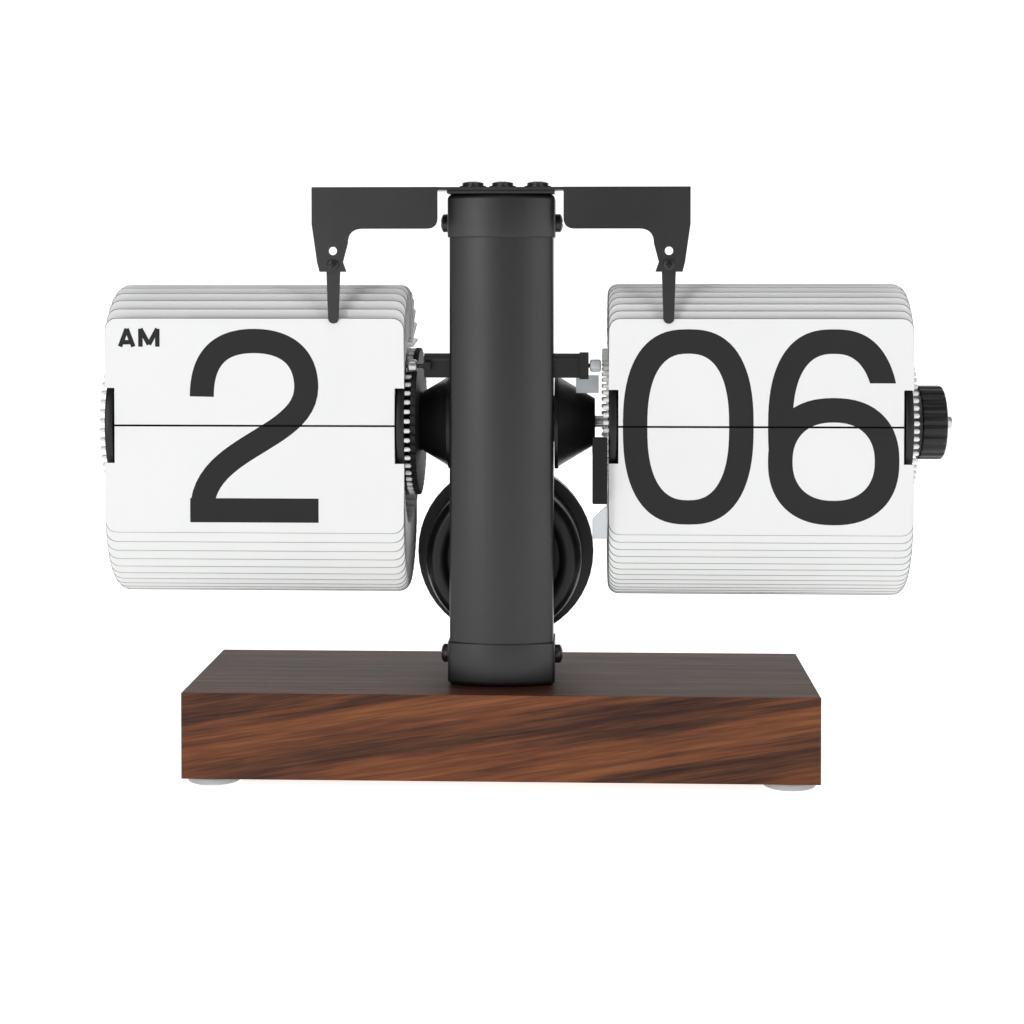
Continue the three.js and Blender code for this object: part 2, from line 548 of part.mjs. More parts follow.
// ---- rocker -------------------------------------------------------------------------------
function rocker() {
  const z = axisZ + ROCKER.aboveAxis;
  const { depth, height, pin } = ROCKER;
  const half = ROCKER_HALF;
  const y = ROCKER_Y;
  const endAt = (x) => box(x - T_END.width / 2, x + T_END.width / 2, y - T_END.depth / 2,
    y + T_END.depth / 2, z - T_END.height / 2, z + T_END.height / 2);
  const bar = box(-half, half + 1, y - depth / 2, y + depth / 2, z - height / 2, z + height / 2);
  const rib = box(-half, half, y - depth / 2 - 0.8, y, z + height / 2 - 3, z + height / 2 - 1.6);
  const eye = rod('y', y - 5, y + 5, pin + FIT, [0, 0, z], 24);
  const spindle = (x0, x1, sy) => rod('x', x0, x1, 0.9, [0, sy, z], 12);
  const foot = box(-half, -half + 3, rollerY - 1.5, y, z - 1.5, z + 1.5);
  const hourSpindle = spindle(-ROLLER.out - 1.6, -half + 1, rollerY);
  const minuteSpindle = spindle(half + 2, ROLLER.out + 4, y);
  const body = cut(join(bar, rib, endAt(half + 2)), eye);
  piece('rocker_bar', join(body, foot, hourSpindle, minuteSpindle), BLACK_PLASTIC);
  const rollerAt = (x, width, sy) => {
    const round = ROLLER.radius;
    return turned('x', [[x, 1.2], [x, round - 0.6], [x + 0.6, round], [x + width - 0.6, round],
      [x + width, round - 0.6], [x + width, 1.2], [x, 1.2]], [0, sy, z], 20);
  };
  piece('hour_roller', rollerAt(-ROLLER.out - 1.6, ROLLER.width, rollerY), STEEL);
  piece('minute_roller', rollerAt(ROLLER.out - 0.6, ROLLER.width + 0.6, y), CLEAR_PLASTIC);
  piece('rocker_pin', rod('y', columnFront + COLUMN.wall + 0.4, y + 6, pin, [0, 0, z], 24), STEEL);
}

// ---- stop, lever and guide beside the minute drum ------------------------------------------
function minuteStops() {
  const x1 = MINUTES.inner - 0.6;
  const x0 = x1 - STOP.width;
  const back = -DISC.radius - 0.4;
  const top = axisZ - STOP.below;
  const stalk = box(x0, x0 + 2.4, back - 1, -BELL.narrow - 2, top - 8, top - 3);
  const block = box(x0, x1, back - STOP.depth, back, top - STOP.height, top);
  piece('minute_stop_block', join(block, stalk), BLACK_PLASTIC);
  const lever = new THREE.Shape();
  const leverTop = top - STOP.height - 1;
  lever.moveTo(x0, leverTop - 5);
  lever.lineTo(x1 - 1, leverTop);
  lever.lineTo(x1, leverTop);
  lever.lineTo(x1, leverTop - 13);
  lever.lineTo(x0, leverTop - 13);
  lever.closePath();
  piece('release_lever', facing(lever, back - STOP.depth, 1.5), CLEAR_PLASTIC);
  const guide = box(bellStart + 9, bellStart + 18.5, -9.2, -8, axisZ + 12.5, axisZ + 20);
  piece('guide_plate', guide, CLEAR_PLASTIC);
}

// ---- battery housing ----------------------------------------------------------------------
function housing() {
  const { radius, rim, wall, joint, back } = HOUSING;
  const front = columnBack + FIT;
  const at = [0, 0, housingZ];
  const frontShell = turned('y', [[front, 0], [front, radius - 2], [front + 2, radius], [joint, radius],
    [joint, radius - wall], [front + wall, radius - wall], [front + wall, 0]], at, 48);
  piece('housing_front', frontShell, BLACK_PLASTIC);
  const from = joint + SEAT;
  const rearShell = turned('y', [[back, 0], [back, rim - 3], [back - 2.5, rim - 1.2], [from + 4, rim - 1.2],
    [from + 3, rim], [from, rim], [from, radius - wall], [from + wall, radius - wall],
    [from + wall, rim - 1.2 - wall], [back - wall, rim - 1.2 - wall], [back - wall, 0]], at, 48);
  const half = LID.width / 2;
  const tall = LID.height / 2;
  const window = box(-half - FIT, half + FIT, back - 5, back + 1, housingZ - tall - FIT, housingZ + tall + FIT);
  piece('housing_rear', cut(rearShell, window), BLACK_PLASTIC);
  const pull = box(-7, 7, back - 1, back + 1.2, housingZ + tall - 4, housingZ + tall - 2);
  piece('battery_cover', join(
    box(-half, half, back - LID.thickness, back, housingZ - tall, housingZ + tall), pull), BLACK_PLASTIC);
  const cell = BATTERY.length / 2;
  const cellAt = [0, BATTERY.y, housingZ];
  piece('battery', turned('x', [[-cell, 0], [-cell, BATTERY.radius], [cell - BATTERY.nub / 2, BATTERY.radius],
    [cell - BATTERY.nub / 2, BATTERY.nubRadius], [cell, BATTERY.nubRadius], [cell, 0]], cellAt), CELL_SLEEVE);
  const springTip = -cell - SEAT;
  const springFoot = springTip - SPRING.length;
  const coil = [[springFoot, 0], [springFoot, SPRING.radius], [springTip, SPRING.tip], [springTip, 0]];
  piece('contact_spring', turned('x', coil, cellAt, 20), STEEL);
}

base();
column();
bracket();
for (const [name, drum] of [['hour', HOURS], ['minute', MINUTES]]) leaves(name, drum);
hourDrum();
minuteDrum();
bells();
rocker();
minuteStops();
housing();

const middle = new THREE.Box3().setFromObject(centred).getCenter(new THREE.Vector3());
centred.position.set(-middle.x, -middle.y, 0);

export default clock;
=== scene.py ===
"""Flip number clock: surfaces, prints and finishes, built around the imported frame. Metres."""

import json
import math

import bmesh
import bpy
import numpy as np
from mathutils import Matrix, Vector


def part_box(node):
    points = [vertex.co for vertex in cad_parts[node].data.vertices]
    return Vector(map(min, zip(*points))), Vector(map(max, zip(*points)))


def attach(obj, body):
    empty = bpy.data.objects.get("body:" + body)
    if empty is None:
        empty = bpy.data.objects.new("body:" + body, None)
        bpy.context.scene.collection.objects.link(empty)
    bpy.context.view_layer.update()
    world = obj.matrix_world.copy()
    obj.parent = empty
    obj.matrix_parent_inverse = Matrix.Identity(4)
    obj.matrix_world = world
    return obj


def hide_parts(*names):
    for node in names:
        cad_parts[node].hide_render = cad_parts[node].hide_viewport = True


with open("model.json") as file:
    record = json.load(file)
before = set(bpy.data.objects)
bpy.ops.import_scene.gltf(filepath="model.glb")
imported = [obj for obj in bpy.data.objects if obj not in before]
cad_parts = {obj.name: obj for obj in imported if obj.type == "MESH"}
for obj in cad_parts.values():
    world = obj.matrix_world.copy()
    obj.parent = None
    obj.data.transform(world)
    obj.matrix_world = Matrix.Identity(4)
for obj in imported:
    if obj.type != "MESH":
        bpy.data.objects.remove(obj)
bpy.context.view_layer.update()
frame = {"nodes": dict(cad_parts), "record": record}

MM = 0.001
# Mesh points this near to a box's side lie on it.
CLOSE = 0.05 * MM
JOINTS = {joint["name"]: joint for joint in frame["record"]["behaviour"]["joints"]}


def box_of(node):
    """A node's lowest and highest corners, as arrays."""
    low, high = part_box(node)
    return np.array(low), np.array(high)


def corners_of(node):
    """A node's mesh points, as rows of x, y, z."""
    mesh = frame["nodes"][node].data
    spots = np.empty(len(mesh.vertices) * 3)
    mesh.vertices.foreach_get("co", spots)
    return spots.reshape(-1, 3)


AXIS = np.array(JOINTS["minute_spin"]["pos_m"])
ON_AXIS = (0, AXIS[1], AXIS[2])
SPLIT = AXIS[2]
COLUMN_LOW, COLUMN_HIGH = box_of("column_shell")
COLUMN_X = (COLUMN_LOW[0] + COLUMN_HIGH[0]) / 2


# ---- finishes -----------------------------------------------------------------------------
def add(tree, kind, **sockets):
    """A node of one kind, with its properties and input values set by name."""
    node = tree.nodes.new(kind)
    for key, value in sockets.items():
        if hasattr(node, key):
            setattr(node, key, value)
        else:
            node.inputs[key.replace("_", " ")].default_value = value
    return node


def wire(tree, source, target):
    """Links one socket to another."""
    tree.links.new(source, target)


def ramp_between(node, stops):
    """Sets a colour ramp's stops from (position, colour) pairs."""
    ramp = node.color_ramp
    while len(ramp.elements) < len(stops):
        ramp.elements.new(0.5)
    for element, (position, colour) in zip(ramp.elements, stops):
        element.position = position
        element.color = (*colour, 1)


def handled_surface():
    """Group: a plain finish with cloudy tone, fine grain and a little dust on what faces up.

    The tone is large soft noise about the given colour, the grain is fine noise that feeds the
    roughness and a bump, and the dust mask is the upward part of the normal times noise."""
    group = bpy.data.node_groups.new("handled_surface", "ShaderNodeTree")
    for name, kind, start in (
        ("Colour", "NodeSocketColor", (0.5, 0.5, 0.5, 1)),
        ("Roughness", "NodeSocketFloat", 0.5),
        ("Tone", "NodeSocketFloat", 0.1),
        ("Grain Scale", "NodeSocketFloat", 900.0),
        ("Grain Height", "NodeSocketFloat", 0.1),
        ("Dust", "NodeSocketFloat", 0.0),
    ):
        group.interface.new_socket(name, in_out="INPUT", socket_type=kind).default_value = start
    group.interface.new_socket("Colour", in_out="OUTPUT", socket_type="NodeSocketColor")
    group.interface.new_socket("Roughness", in_out="OUTPUT", socket_type="NodeSocketFloat")
    group.interface.new_socket("Normal", in_out="OUTPUT", socket_type="NodeSocketVector")
    inlet = group.nodes.new("NodeGroupInput")
    outlet = group.nodes.new("NodeGroupOutput")
    where = add(group, "ShaderNodeTexCoord")
    clouds = add(group, "ShaderNodeTexNoise", Scale=28.0, Detail=3.0)
    grain = add(group, "ShaderNodeTexNoise", Detail=2.0)
    wire(group, where.outputs["Object"], clouds.inputs["Vector"])
    wire(group, where.outputs["Object"], grain.inputs["Vector"])
    wire(group, inlet.outputs["Grain Scale"], grain.inputs["Scale"])
    swing = add(group, "ShaderNodeMapRange", From_Min=0.3, From_Max=0.7, To_Min=-1.0, To_Max=1.0)
    wire(group, clouds.outputs["Fac"], swing.inputs["Value"])
    depth = add(group, "ShaderNodeMath", operation="MULTIPLY_ADD")
    wire(group, swing.outputs["Result"], depth.inputs[0])
    wire(group, inlet.outputs["Tone"], depth.inputs[1])
    depth.inputs[2].default_value = 1.0
    tinted = add(group, "ShaderNodeVectorMath", operation="SCALE")
    wire(group, inlet.outputs["Colour"], tinted.inputs[0])
    wire(group, depth.outputs[0], tinted.inputs["Scale"])
    facing = add(group, "ShaderNodeNewGeometry")
    parts = add(group, "ShaderNodeSeparateXYZ")
    wire(group, facing.outputs["Normal"], parts.inputs[0])
    upward = add(group, "ShaderNodeMapRange", From_Min=0.6, From_Max=1.0)
    wire(group, parts.outputs["Z"], upward.inputs["Value"])
    speckled = add(group, "ShaderNodeMath", operation="MULTIPLY")
    wire(group, upward.outputs["Result"], speckled.inputs[0])
    wire(group, grain.outputs["Fac"], speckled.inputs[1])
    dusty = add(group, "ShaderNodeMath", operation="MULTIPLY")
    wire(group, speckled.outputs[0], dusty.inputs[0])
    wire(group, inlet.outputs["Dust"], dusty.inputs[1])
    mixed = add(group, "ShaderNodeMix", data_type="RGBA")
    wire(group, dusty.outputs[0], mixed.inputs[0])
    wire(group, tinted.outputs[0], mixed.inputs[6])
    mixed.inputs[7].default_value = (0.5, 0.49, 0.47, 1)
    wire(group, mixed.outputs[2], outlet.inputs["Colour"])
    spread = add(group, "ShaderNodeMath", operation="MULTIPLY_ADD")
    wire(group, clouds.outputs["Fac"], spread.inputs[0])
    spread.inputs[1].default_value = 0.16
    wire(group, inlet.outputs["Roughness"], spread.inputs[2])
    wire(group, spread.outputs[0], outlet.inputs["Roughness"])
    bump = add(group, "ShaderNodeBump", Distance=0.0002)
    wire(group, inlet.outputs["Grain Height"], bump.inputs["Strength"])
    wire(group, grain.outputs["Fac"], bump.inputs["Height"])
    wire(group, bump.outputs[0], outlet.inputs["Normal"])
    return group


HANDLED = handled_surface()


def plain_finish(name, colour, roughness, metallic=0.0, tone=0.1, grain=(900.0, 0.1), dust=0.0, **shader):
    """A material from the handled surface, with its constants on the shader's own sockets."""
    material = bpy.data.materials.new(name)
    material.use_nodes = True
    tree = material.node_tree
    surface = tree.nodes["Principled BSDF"]
    group = add(tree, "ShaderNodeGroup", node_tree=HANDLED)
    group.inputs["Colour"].default_value = (*colour, 1)
    group.inputs["Roughness"].default_value = roughness - 0.08
    group.inputs["Tone"].default_value = tone
    group.inputs["Grain Scale"].default_value = grain[0]
    group.inputs["Grain Height"].default_value = grain[1]
    group.inputs["Dust"].default_value = dust
    wire(tree, group.outputs["Colour"], surface.inputs["Base Color"])
    wire(tree, group.outputs["Roughness"], surface.inputs["Roughness"])
    wire(tree, group.outputs["Normal"], surface.inputs["Normal"])
    surface.inputs["Metallic"].default_value = metallic
    for key, value in shader.items():
        surface.inputs[key.replace("_", " ")].default_value = value
    return material


def walnut_grain():
    """Group: walnut. Wavy bands follow one slanted direction, bent by long noise, and are split by
    fine fibres and short dark pores that run along the board."""
    group = bpy.data.node_groups.new("walnut_grain", "ShaderNodeTree")
    for name, start in (("Slant", 0.0), ("Bands", 60.0), ("Figure", 1.0), ("Depth", 1.0)):
        socket = group.interface.new_socket(name, in_out="INPUT", socket_type="NodeSocketFloat")
        socket.default_value = start
    group.interface.new_socket("Colour", in_out="OUTPUT", socket_type="NodeSocketColor")
    group.interface.new_socket("Roughness", in_out="OUTPUT", socket_type="NodeSocketFloat")
    group.interface.new_socket("Height", in_out="OUTPUT", socket_type="NodeSocketFloat")
    inlet = group.nodes.new("NodeGroupInput")
    outlet = group.nodes.new("NodeGroupOutput")
    where = add(group, "ShaderNodeTexCoord")
    turn = add(group, "ShaderNodeVectorRotate", rotation_type="Y_AXIS")
    wire(group, where.outputs["Object"], turn.inputs["Vector"])
    wire(group, inlet.outputs["Slant"], turn.inputs["Angle"])
    stretch = add(group, "ShaderNodeMapping")
    stretch.inputs["Scale"].default_value = (0.2, 1.0, 1.0)
    wire(group, turn.outputs[0], stretch.inputs["Vector"])
    bend = add(group, "ShaderNodeTexNoise", Scale=34.0, Detail=4.0, Roughness=0.55)
    wire(group, stretch.outputs[0], bend.inputs["Vector"])
    parts = add(group, "ShaderNodeSeparateXYZ")
    wire(group, stretch.outputs[0], parts.inputs[0])
    across = add(group, "ShaderNodeMath", operation="ADD")
    wire(group, parts.outputs["Y"], across.inputs[0])
    wire(group, parts.outputs["Z"], across.inputs[1])
    counted = add(group, "ShaderNodeMath", operation="MULTIPLY")
    wire(group, across.outputs[0], counted.inputs[0])
    wire(group, inlet.outputs["Bands"], counted.inputs[1])
    wavy = add(group, "ShaderNodeMath", operation="MULTIPLY_ADD")
    wire(group, bend.outputs["Fac"], wavy.inputs[0])
    wavy.inputs[1].default_value = 7.0
    wire(group, counted.outputs[0], wavy.inputs[2])
    phase = add(group, "ShaderNodeMath", operation="SINE")
    wire(group, wavy.outputs[0], phase.inputs[0])
    band = add(group, "ShaderNodeMapRange", From_Min=-1.0, From_Max=1.0)
    wire(group, phase.outputs[0], band.inputs["Value"])
    fine = add(group, "ShaderNodeMapping")
    fine.inputs["Scale"].default_value = (0.032, 1.0, 1.0)
    wire(group, turn.outputs[0], fine.inputs["Vector"])
    fibres = add(group, "ShaderNodeTexNoise", Scale=1500.0, Detail=4.0, Roughness=0.65)
    wire(group, fine.outputs[0], fibres.inputs["Vector"])
    streaks = add(group, "ShaderNodeTexNoise", Scale=330.0, Detail=4.0, Roughness=0.65)
    wire(group, fine.outputs[0], streaks.inputs["Vector"])
    blend = add(group, "ShaderNodeMath", operation="MULTIPLY_ADD")
    wire(group, band.outputs[0], blend.inputs[0])
    wire(group, inlet.outputs["Figure"], blend.inputs[1])
    wire(group, streaks.outputs["Fac"], blend.inputs[2])
    toned = add(group, "ShaderNodeMath", operation="MULTIPLY_ADD")
    wire(group, fibres.outputs["Fac"], toned.inputs[0])
    toned.inputs[1].default_value = 0.5
    wire(group, blend.outputs[0], toned.inputs[2])
    level = add(group, "ShaderNodeMapRange", From_Min=0.55, From_Max=1.15)
    wire(group, toned.outputs[0], level.inputs["Value"])
    colours = add(group, "ShaderNodeValToRGB")
    ramp_between(colours, [(0.0, (0.030, 0.012, 0.010)), (0.35, (0.085, 0.034, 0.020)),
                           (0.65, (0.185, 0.062, 0.026)), (1.0, (0.280, 0.105, 0.044))])
    wire(group, level.outputs["Result"], colours.inputs[0])
    darker = add(group, "ShaderNodeVectorMath", operation="SCALE")
    wire(group, colours.outputs[0], darker.inputs[0])
    wire(group, inlet.outputs["Depth"], darker.inputs["Scale"])
    wire(group, darker.outputs[0], outlet.inputs["Colour"])
    rough = add(group, "ShaderNodeMapRange", To_Min=0.62, To_Max=0.42)
    wire(group, fibres.outputs["Fac"], rough.inputs["Value"])
    wire(group, rough.outputs["Result"], outlet.inputs["Roughness"])
    wire(group, fibres.outputs["Fac"], outlet.inputs["Height"])
    return group


WALNUT_GRAIN = walnut_grain()


def walnut(name, slant, bands, figure, depth):
    """A walnut material: the grain group's colour and roughness, and a bump from its fibres."""
    material = bpy.data.materials.new(name)
    material.use_nodes = True
    tree = material.node_tree
    surface = tree.nodes["Principled BSDF"]
    group = add(tree, "ShaderNodeGroup", node_tree=WALNUT_GRAIN)
    for key, value in (("Slant", slant), ("Bands", bands), ("Figure", figure), ("Depth", depth)):
        group.inputs[key].default_value = value
    bump = add(tree, "ShaderNodeBump", Strength=0.25, Distance=0.0002)
    wire(tree, group.outputs["Height"], bump.inputs["Height"])
    wire(tree, group.outputs["Colour"], surface.inputs["Base Color"])
    wire(tree, group.outputs["Roughness"], surface.inputs["Roughness"])
    wire(tree, bump.outputs[0], surface.inputs["Normal"])
    surface.inputs["Specular IOR Level"].default_value = 0.15
    return material


WALNUT_FACE = walnut("walnut_face", 0.16, 200.0, 0.2, 0.95)
WALNUT_TOP = walnut("walnut_top", 0.0, 300.0, 0.08, 0.8)
SATIN_BLACK = plain_finish("satin_black_coat", (0.010, 0.010, 0.011), 0.36, tone=0.12, grain=(2600.0, 0.2),
                           dust=0.02, Specular_IOR_Level=0.6)
MOULDED_BLACK = plain_finish("moulded_black", (0.008, 0.008, 0.008), 0.34, tone=0.15, grain=(1500.0, 0.12),
                             dust=0.03, Specular_IOR_Level=0.35)
MATT_BLACK = plain_finish("matt_black_moulding", (0.007, 0.007, 0.007), 0.55, tone=0.2, grain=(1200.0, 0.2),
                          dust=0.03, Specular_IOR_Level=0.25)
LEAF_WHITE = plain_finish("leaf_white", (0.86, 0.87, 0.86), 0.5, tone=0.012, grain=(1800.0, 0.05))
# The leaves' cut edges are a dark grey: painted shade for the shadow lines between stacked leaves.
LEAF_EDGE_SHADE = plain_finish("leaf_cut_edge", (0.20, 0.20, 0.205), 0.6, tone=0.3)
PRINT_BLACK = plain_finish("numeral_print", (0.028, 0.028, 0.029), 0.6, tone=0.06, grain=(2200.0, 0.05),
                           Specular_IOR_Level=0.1)
EAR_WHITE = plain_finish("leaf_ear_white", (0.80, 0.80, 0.78), 0.45, tone=0.05)
STEEL = plain_finish("turned_steel", (0.56, 0.56, 0.57), 0.3, metallic=1.0, tone=0.1, grain=(1800.0, 0.15))
DARK_STEEL = plain_finish("blackened_steel", (0.03, 0.03, 0.032), 0.32, metallic=0.5, tone=0.2,
                          grain=(1500.0, 0.1))
BRASS = plain_finish("machined_brass", (0.66, 0.47, 0.20), 0.3, metallic=1.0, tone=0.12)
SILICONE = plain_finish("foot_silicone", (0.60, 0.61, 0.62), 0.45, tone=0.05, grain=(700.0, 0.1),
                        Transmission_Weight=0.25)
PALE_PLASTIC = plain_finish("pale_plastic", (0.75, 0.78, 0.80), 0.25, tone=0.04, Transmission_Weight=0.3)
SLEEVE = plain_finish("cell_sleeve", (0.03, 0.07, 0.14), 0.3, tone=0.08)


# ---- mesh making --------------------------------------------------------------------------
def piece(name, points, faces, body, material, node=None, materials=(), smooth=35, merge=True):
    """A finished piece from points and faces: its doubles merged, its faces turned outwards."""
    mesh = bpy.data.meshes.new(name)
    mesh.from_pydata(np.asarray(points).reshape(-1, 3).tolist(), [], [list(face) for face in faces])
    shape = bmesh.new()
    shape.from_mesh(mesh)
    if merge:
        bmesh.ops.remove_doubles(shape, verts=shape.verts, dist=2e-6)
        bmesh.ops.recalc_face_normals(shape, faces=shape.faces)
    shape.to_mesh(mesh)
    shape.free()
    mesh.polygons.foreach_set("use_smooth", [True] * len(mesh.polygons))
    mesh.set_sharp_from_angle(angle=math.radians(smooth))
    for one in (material, *materials):
        mesh.materials.append(one)
    obj = bpy.data.objects.new(name, mesh)
    bpy.context.scene.collection.objects.link(obj)
    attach(obj, body)
    if node:
        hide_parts(node)
    return obj


def soften(obj, width, segments=2, angle=30):
    """Rounds a piece's edges by a small live bevel."""
    bevel = obj.modifiers.new("edges", "BEVEL")
    bevel.width = width
    bevel.segments = segments
    bevel.limit_method = "ANGLE"
    bevel.angle_limit = math.radians(angle)
    bevel.harden_normals = True
    return obj


def quads(rows, columns, wrap_rows=False, wrap_columns=False):
    """The faces of a grid of rows by columns points, closed along either way if asked."""
    i = np.arange(rows if wrap_rows else rows - 1)
    j = np.arange(columns if wrap_columns else columns - 1)
    i, j = [index.ravel() for index in np.meshgrid(i, j, indexing="ij")]
    i2, j2 = (i + 1) % rows, (j + 1) % columns
    return np.stack([i * columns + j, i * columns + j2, i2 * columns + j2, i2 * columns + j], 1)


def turned_points(axis, centre, profile, segments=96, flute=None):
    """A turned surface: each (along, radius) of a profile goes once round the axis through centre.
    flute, if given, is a factor of the radius as a function of the angle and the profile index."""
    profile = np.asarray(profile, float)
    angle = np.linspace(0, 2 * math.pi, segments, endpoint=False)
    radius = profile[:, 1][:, None] * np.ones(segments)
    if flute is not None:
        radius = radius * flute(angle[None, :], profile[:, 0][:, None])
    along = profile[:, 0][:, None] * np.ones(segments)
    side, rise = radius * np.cos(angle), radius * np.sin(angle)
    order = {"x": (along, side, rise), "y": (side, along, rise), "z": (side, rise, along)}[axis]
    return np.stack(order, -1) + np.asarray(centre)


def turned(name, axis, centre, profile, body, material, node=None, segments=96, flute=None, closed=False):
    """A piece from a turned surface. A closed profile is a ring, joined from its last point to its
    first; any other begins and ends on the axis."""
    points = turned_points(axis, centre, profile, segments, flute)
    faces = quads(len(profile), segments, wrap_rows=closed, wrap_columns=True)
    return piece(name, points, faces, body, material, node)


def rounded(profile, radius, steps=5):
    """A profile whose inner corners become arcs: each is a quadratic curve between two points that
    lie radius, or half the shorter side, away from the corner."""
    profile = np.asarray(profile, float)
    points = [profile[0]]
    for before, corner, after in zip(profile[:-2], profile[1:-1], profile[2:]):
        reach = min(radius, np.linalg.norm(before - corner) / 2.01, np.linalg.norm(after - corner) / 2.01)
        start = corner + (before - corner) / max(np.linalg.norm(before - corner), 1e-9) * reach
        end = corner + (after - corner) / max(np.linalg.norm(after - corner), 1e-9) * reach
        t = np.linspace(0, 1, steps)[:, None]
        points.extend((1 - t) ** 2 * start + 2 * t * (1 - t) * corner + t ** 2 * end)
    points.append(profile[-1])
    return np.array(points)


def softened_copy(node, body, material, width, segments=2, name=None, angle=30):
    """A rounded copy of a CAD node: its triangles merged, flat areas made one face, edges bevelled."""
    source = frame["nodes"][node]
    mesh = source.data.copy()
    shape = bmesh.new()
    shape.from_mesh(mesh)
    bmesh.ops.remove_doubles(shape, verts=shape.verts, dist=1e-6)
    bmesh.ops.dissolve_limit(shape, angle_limit=math.radians(2), verts=shape.verts, edges=shape.edges)
    shape.to_mesh(mesh)
    shape.free()
    mesh.materials.clear()
    mesh.materials.append(material)
    mesh.polygons.foreach_set("use_smooth", [True] * len(mesh.polygons))
    mesh.set_sharp_from_angle(angle=math.radians(angle))
    obj = bpy.data.objects.new(name or f"{node}_finished", mesh)
    bpy.context.scene.collection.objects.link(obj)
    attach(obj, body)
    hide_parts(node)
    return soften(obj, width, segments, angle)


# ---- block and feet -----------------------------------------------------------------------
def make_block():
    """The walnut block: figured sides, and a top whose grain runs straight along it."""
    obj = softened_copy("wood_base", "stand", WALNUT_FACE, 0.5 * MM, 3, name="walnut_block")
    obj.data.materials.append(WALNUT_TOP)
    tops = [1 if face.normal.z > 0.9 else 0 for face in obj.data.polygons]
    obj.data.polygons.foreach_set("material_index", tops)


def make_feet():
    """Each foot is a low pad with a rounded lower edge and a shallow dish in its sole."""
    for row in ("front", "rear"):
        for hand in ("left", "right"):
            node = f"foot_pad_{row}_{hand}"
            low, high = box_of(node)
            radius = (high[0] - low[0]) / 2
            tall = high[2] - low[2]
            outline = [(0.4 * MM, 0), (0.4 * MM, radius * 0.7), (0, radius * 0.8), (0, radius),
                       (tall, radius * 0.98), (tall, 0)]
            centre = [(low[0] + high[0]) / 2, (low[1] + high[1]) / 2, low[2]]
            turned(f"{node}_moulded", "z", centre, rounded(outline, 0.9 * MM), "stand", SILICONE, node)


# ---- column -------------------------------------------------------------------------------
COLUMN_WALL = 2 * MM
COLUMN_ROUNDING = 2.6 * MM


def column_line(grow, count=40):
    """Half-open plan of the column: up one side, across the bowed front and down the other. The
    front is a quadratic curve: it falls back from its middle by the square of the distance, to the
    shoulders at which the shell's sides begin."""
    half = (COLUMN_HIGH[0] - COLUMN_LOW[0]) / 2 + grow
    back = COLUMN_HIGH[1] + max(grow, 0)
    front = COLUMN_LOW[1] - grow
    shell = corners_of("column_shell")
    edge = shell[shell[:, 0] < COLUMN_LOW[0] + CLOSE]
    shoulder = front + edge[:, 1].min() - COLUMN_LOW[1]
    t = np.concatenate([[-1], np.linspace(-0.86, 0.86, count), [1]])
    bow = np.stack([half * t, front + (shoulder - front) * t ** 2], 1)
    side = np.linspace(back, shoulder + 3 * MM, 10)
    left = np.stack([np.full(len(side), -half), side], 1)
    right = np.stack([np.full(len(side), half), side[::-1]], 1)
    line = rounded(np.concatenate([left, bow, right]), COLUMN_ROUNDING, 5)
    return line + [COLUMN_X, 0]


def make_column():
    """The shell is its plan carried up the column, open at the back, with a slot in each side for
    the rocker. It is given its wall inwards."""
    plan = column_line(0)
    shell = corners_of("column_shell")
    between = shell[(shell[:, 2] > COLUMN_LOW[2] + 1 * MM) & (shell[:, 2] < COLUMN_HIGH[2] - 1 * MM)]
    slot_low, slot_high = between.min(0), between.max(0)
    heights = np.concatenate([np.linspace(COLUMN_LOW[2], slot_low[2], 20),
                              np.linspace(slot_high[2], COLUMN_HIGH[2], 8)])
    points = np.stack([np.broadcast_to(plan[:, 0], (len(heights), len(plan))),
                       np.broadcast_to(plan[:, 1], (len(heights), len(plan))),
                       np.broadcast_to(heights[:, None], (len(heights), len(plan)))], -1)
    faces = quads(len(heights), len(plan))
    middle = points.reshape(-1, 3)[faces].mean(1)
    half = (COLUMN_HIGH[0] - COLUMN_LOW[0]) / 2
    in_slot = ((middle[:, 1] > slot_low[1]) & (middle[:, 1] < slot_high[1]) & (middle[:, 2] > slot_low[2])
               & (middle[:, 2] < slot_high[2]) & (abs(middle[:, 0] - COLUMN_X) > 0.95 * half))
    obj = piece("column_skin", points, faces[~in_slot], "stand", SATIN_BLACK, "column_shell", smooth=50)
    wall = obj.modifiers.new("wall", "SOLIDIFY")
    wall.thickness = COLUMN_WALL
    wall.offset = -1
    soften(obj, 0.3 * MM, 2, 50)
    for node, up in (("column_top_cap", 1), ("column_bottom_cap", -1)):
        make_cap(node, up)


def make_cap(node, up):
    """A cap is the column's closed plan, a little larger, drawn in at its ends by a quarter circle
    that is wider at the free end than at the seam."""
    low, high = box_of(node)
    z0, z1 = (COLUMN_HIGH[2], high[2]) if up > 0 else (low[2], COLUMN_LOW[2])
    free, joint = 2.2 * MM, 0.5 * MM
    ends = (joint, free) if up > 0 else (free, joint)
    sections = [(z0 + ends[0] * (1 - math.cos(turn)), ends[0] * (1 - math.sin(turn)))
                for turn in np.linspace(0, math.pi / 2, 7)]
    sections += [(z1 - ends[1] * (1 - math.sin(turn)), ends[1] * (1 - math.cos(turn)))
                 for turn in np.linspace(0, math.pi / 2, 7)]
    grow = (high[0] - low[0] - COLUMN_HIGH[0] + COLUMN_LOW[0]) / 2
    plans = [column_line(grow - inset) for _, inset in sections]
    rings = [np.column_stack([plan, np.full(len(plan), z)]) for plan, (z, _) in zip(plans, sections)]
    count = len(rings[0])
    points = np.array(rings)
    faces = [list(face) for face in quads(len(rings), count, wrap_columns=True)]
    faces.append(list(range(count)))
    faces.append(list(range((len(rings) - 1) * count, len(rings) * count)))
    piece(f"{node}_cast", points, faces, "stand", SATIN_BLACK, node, smooth=40)


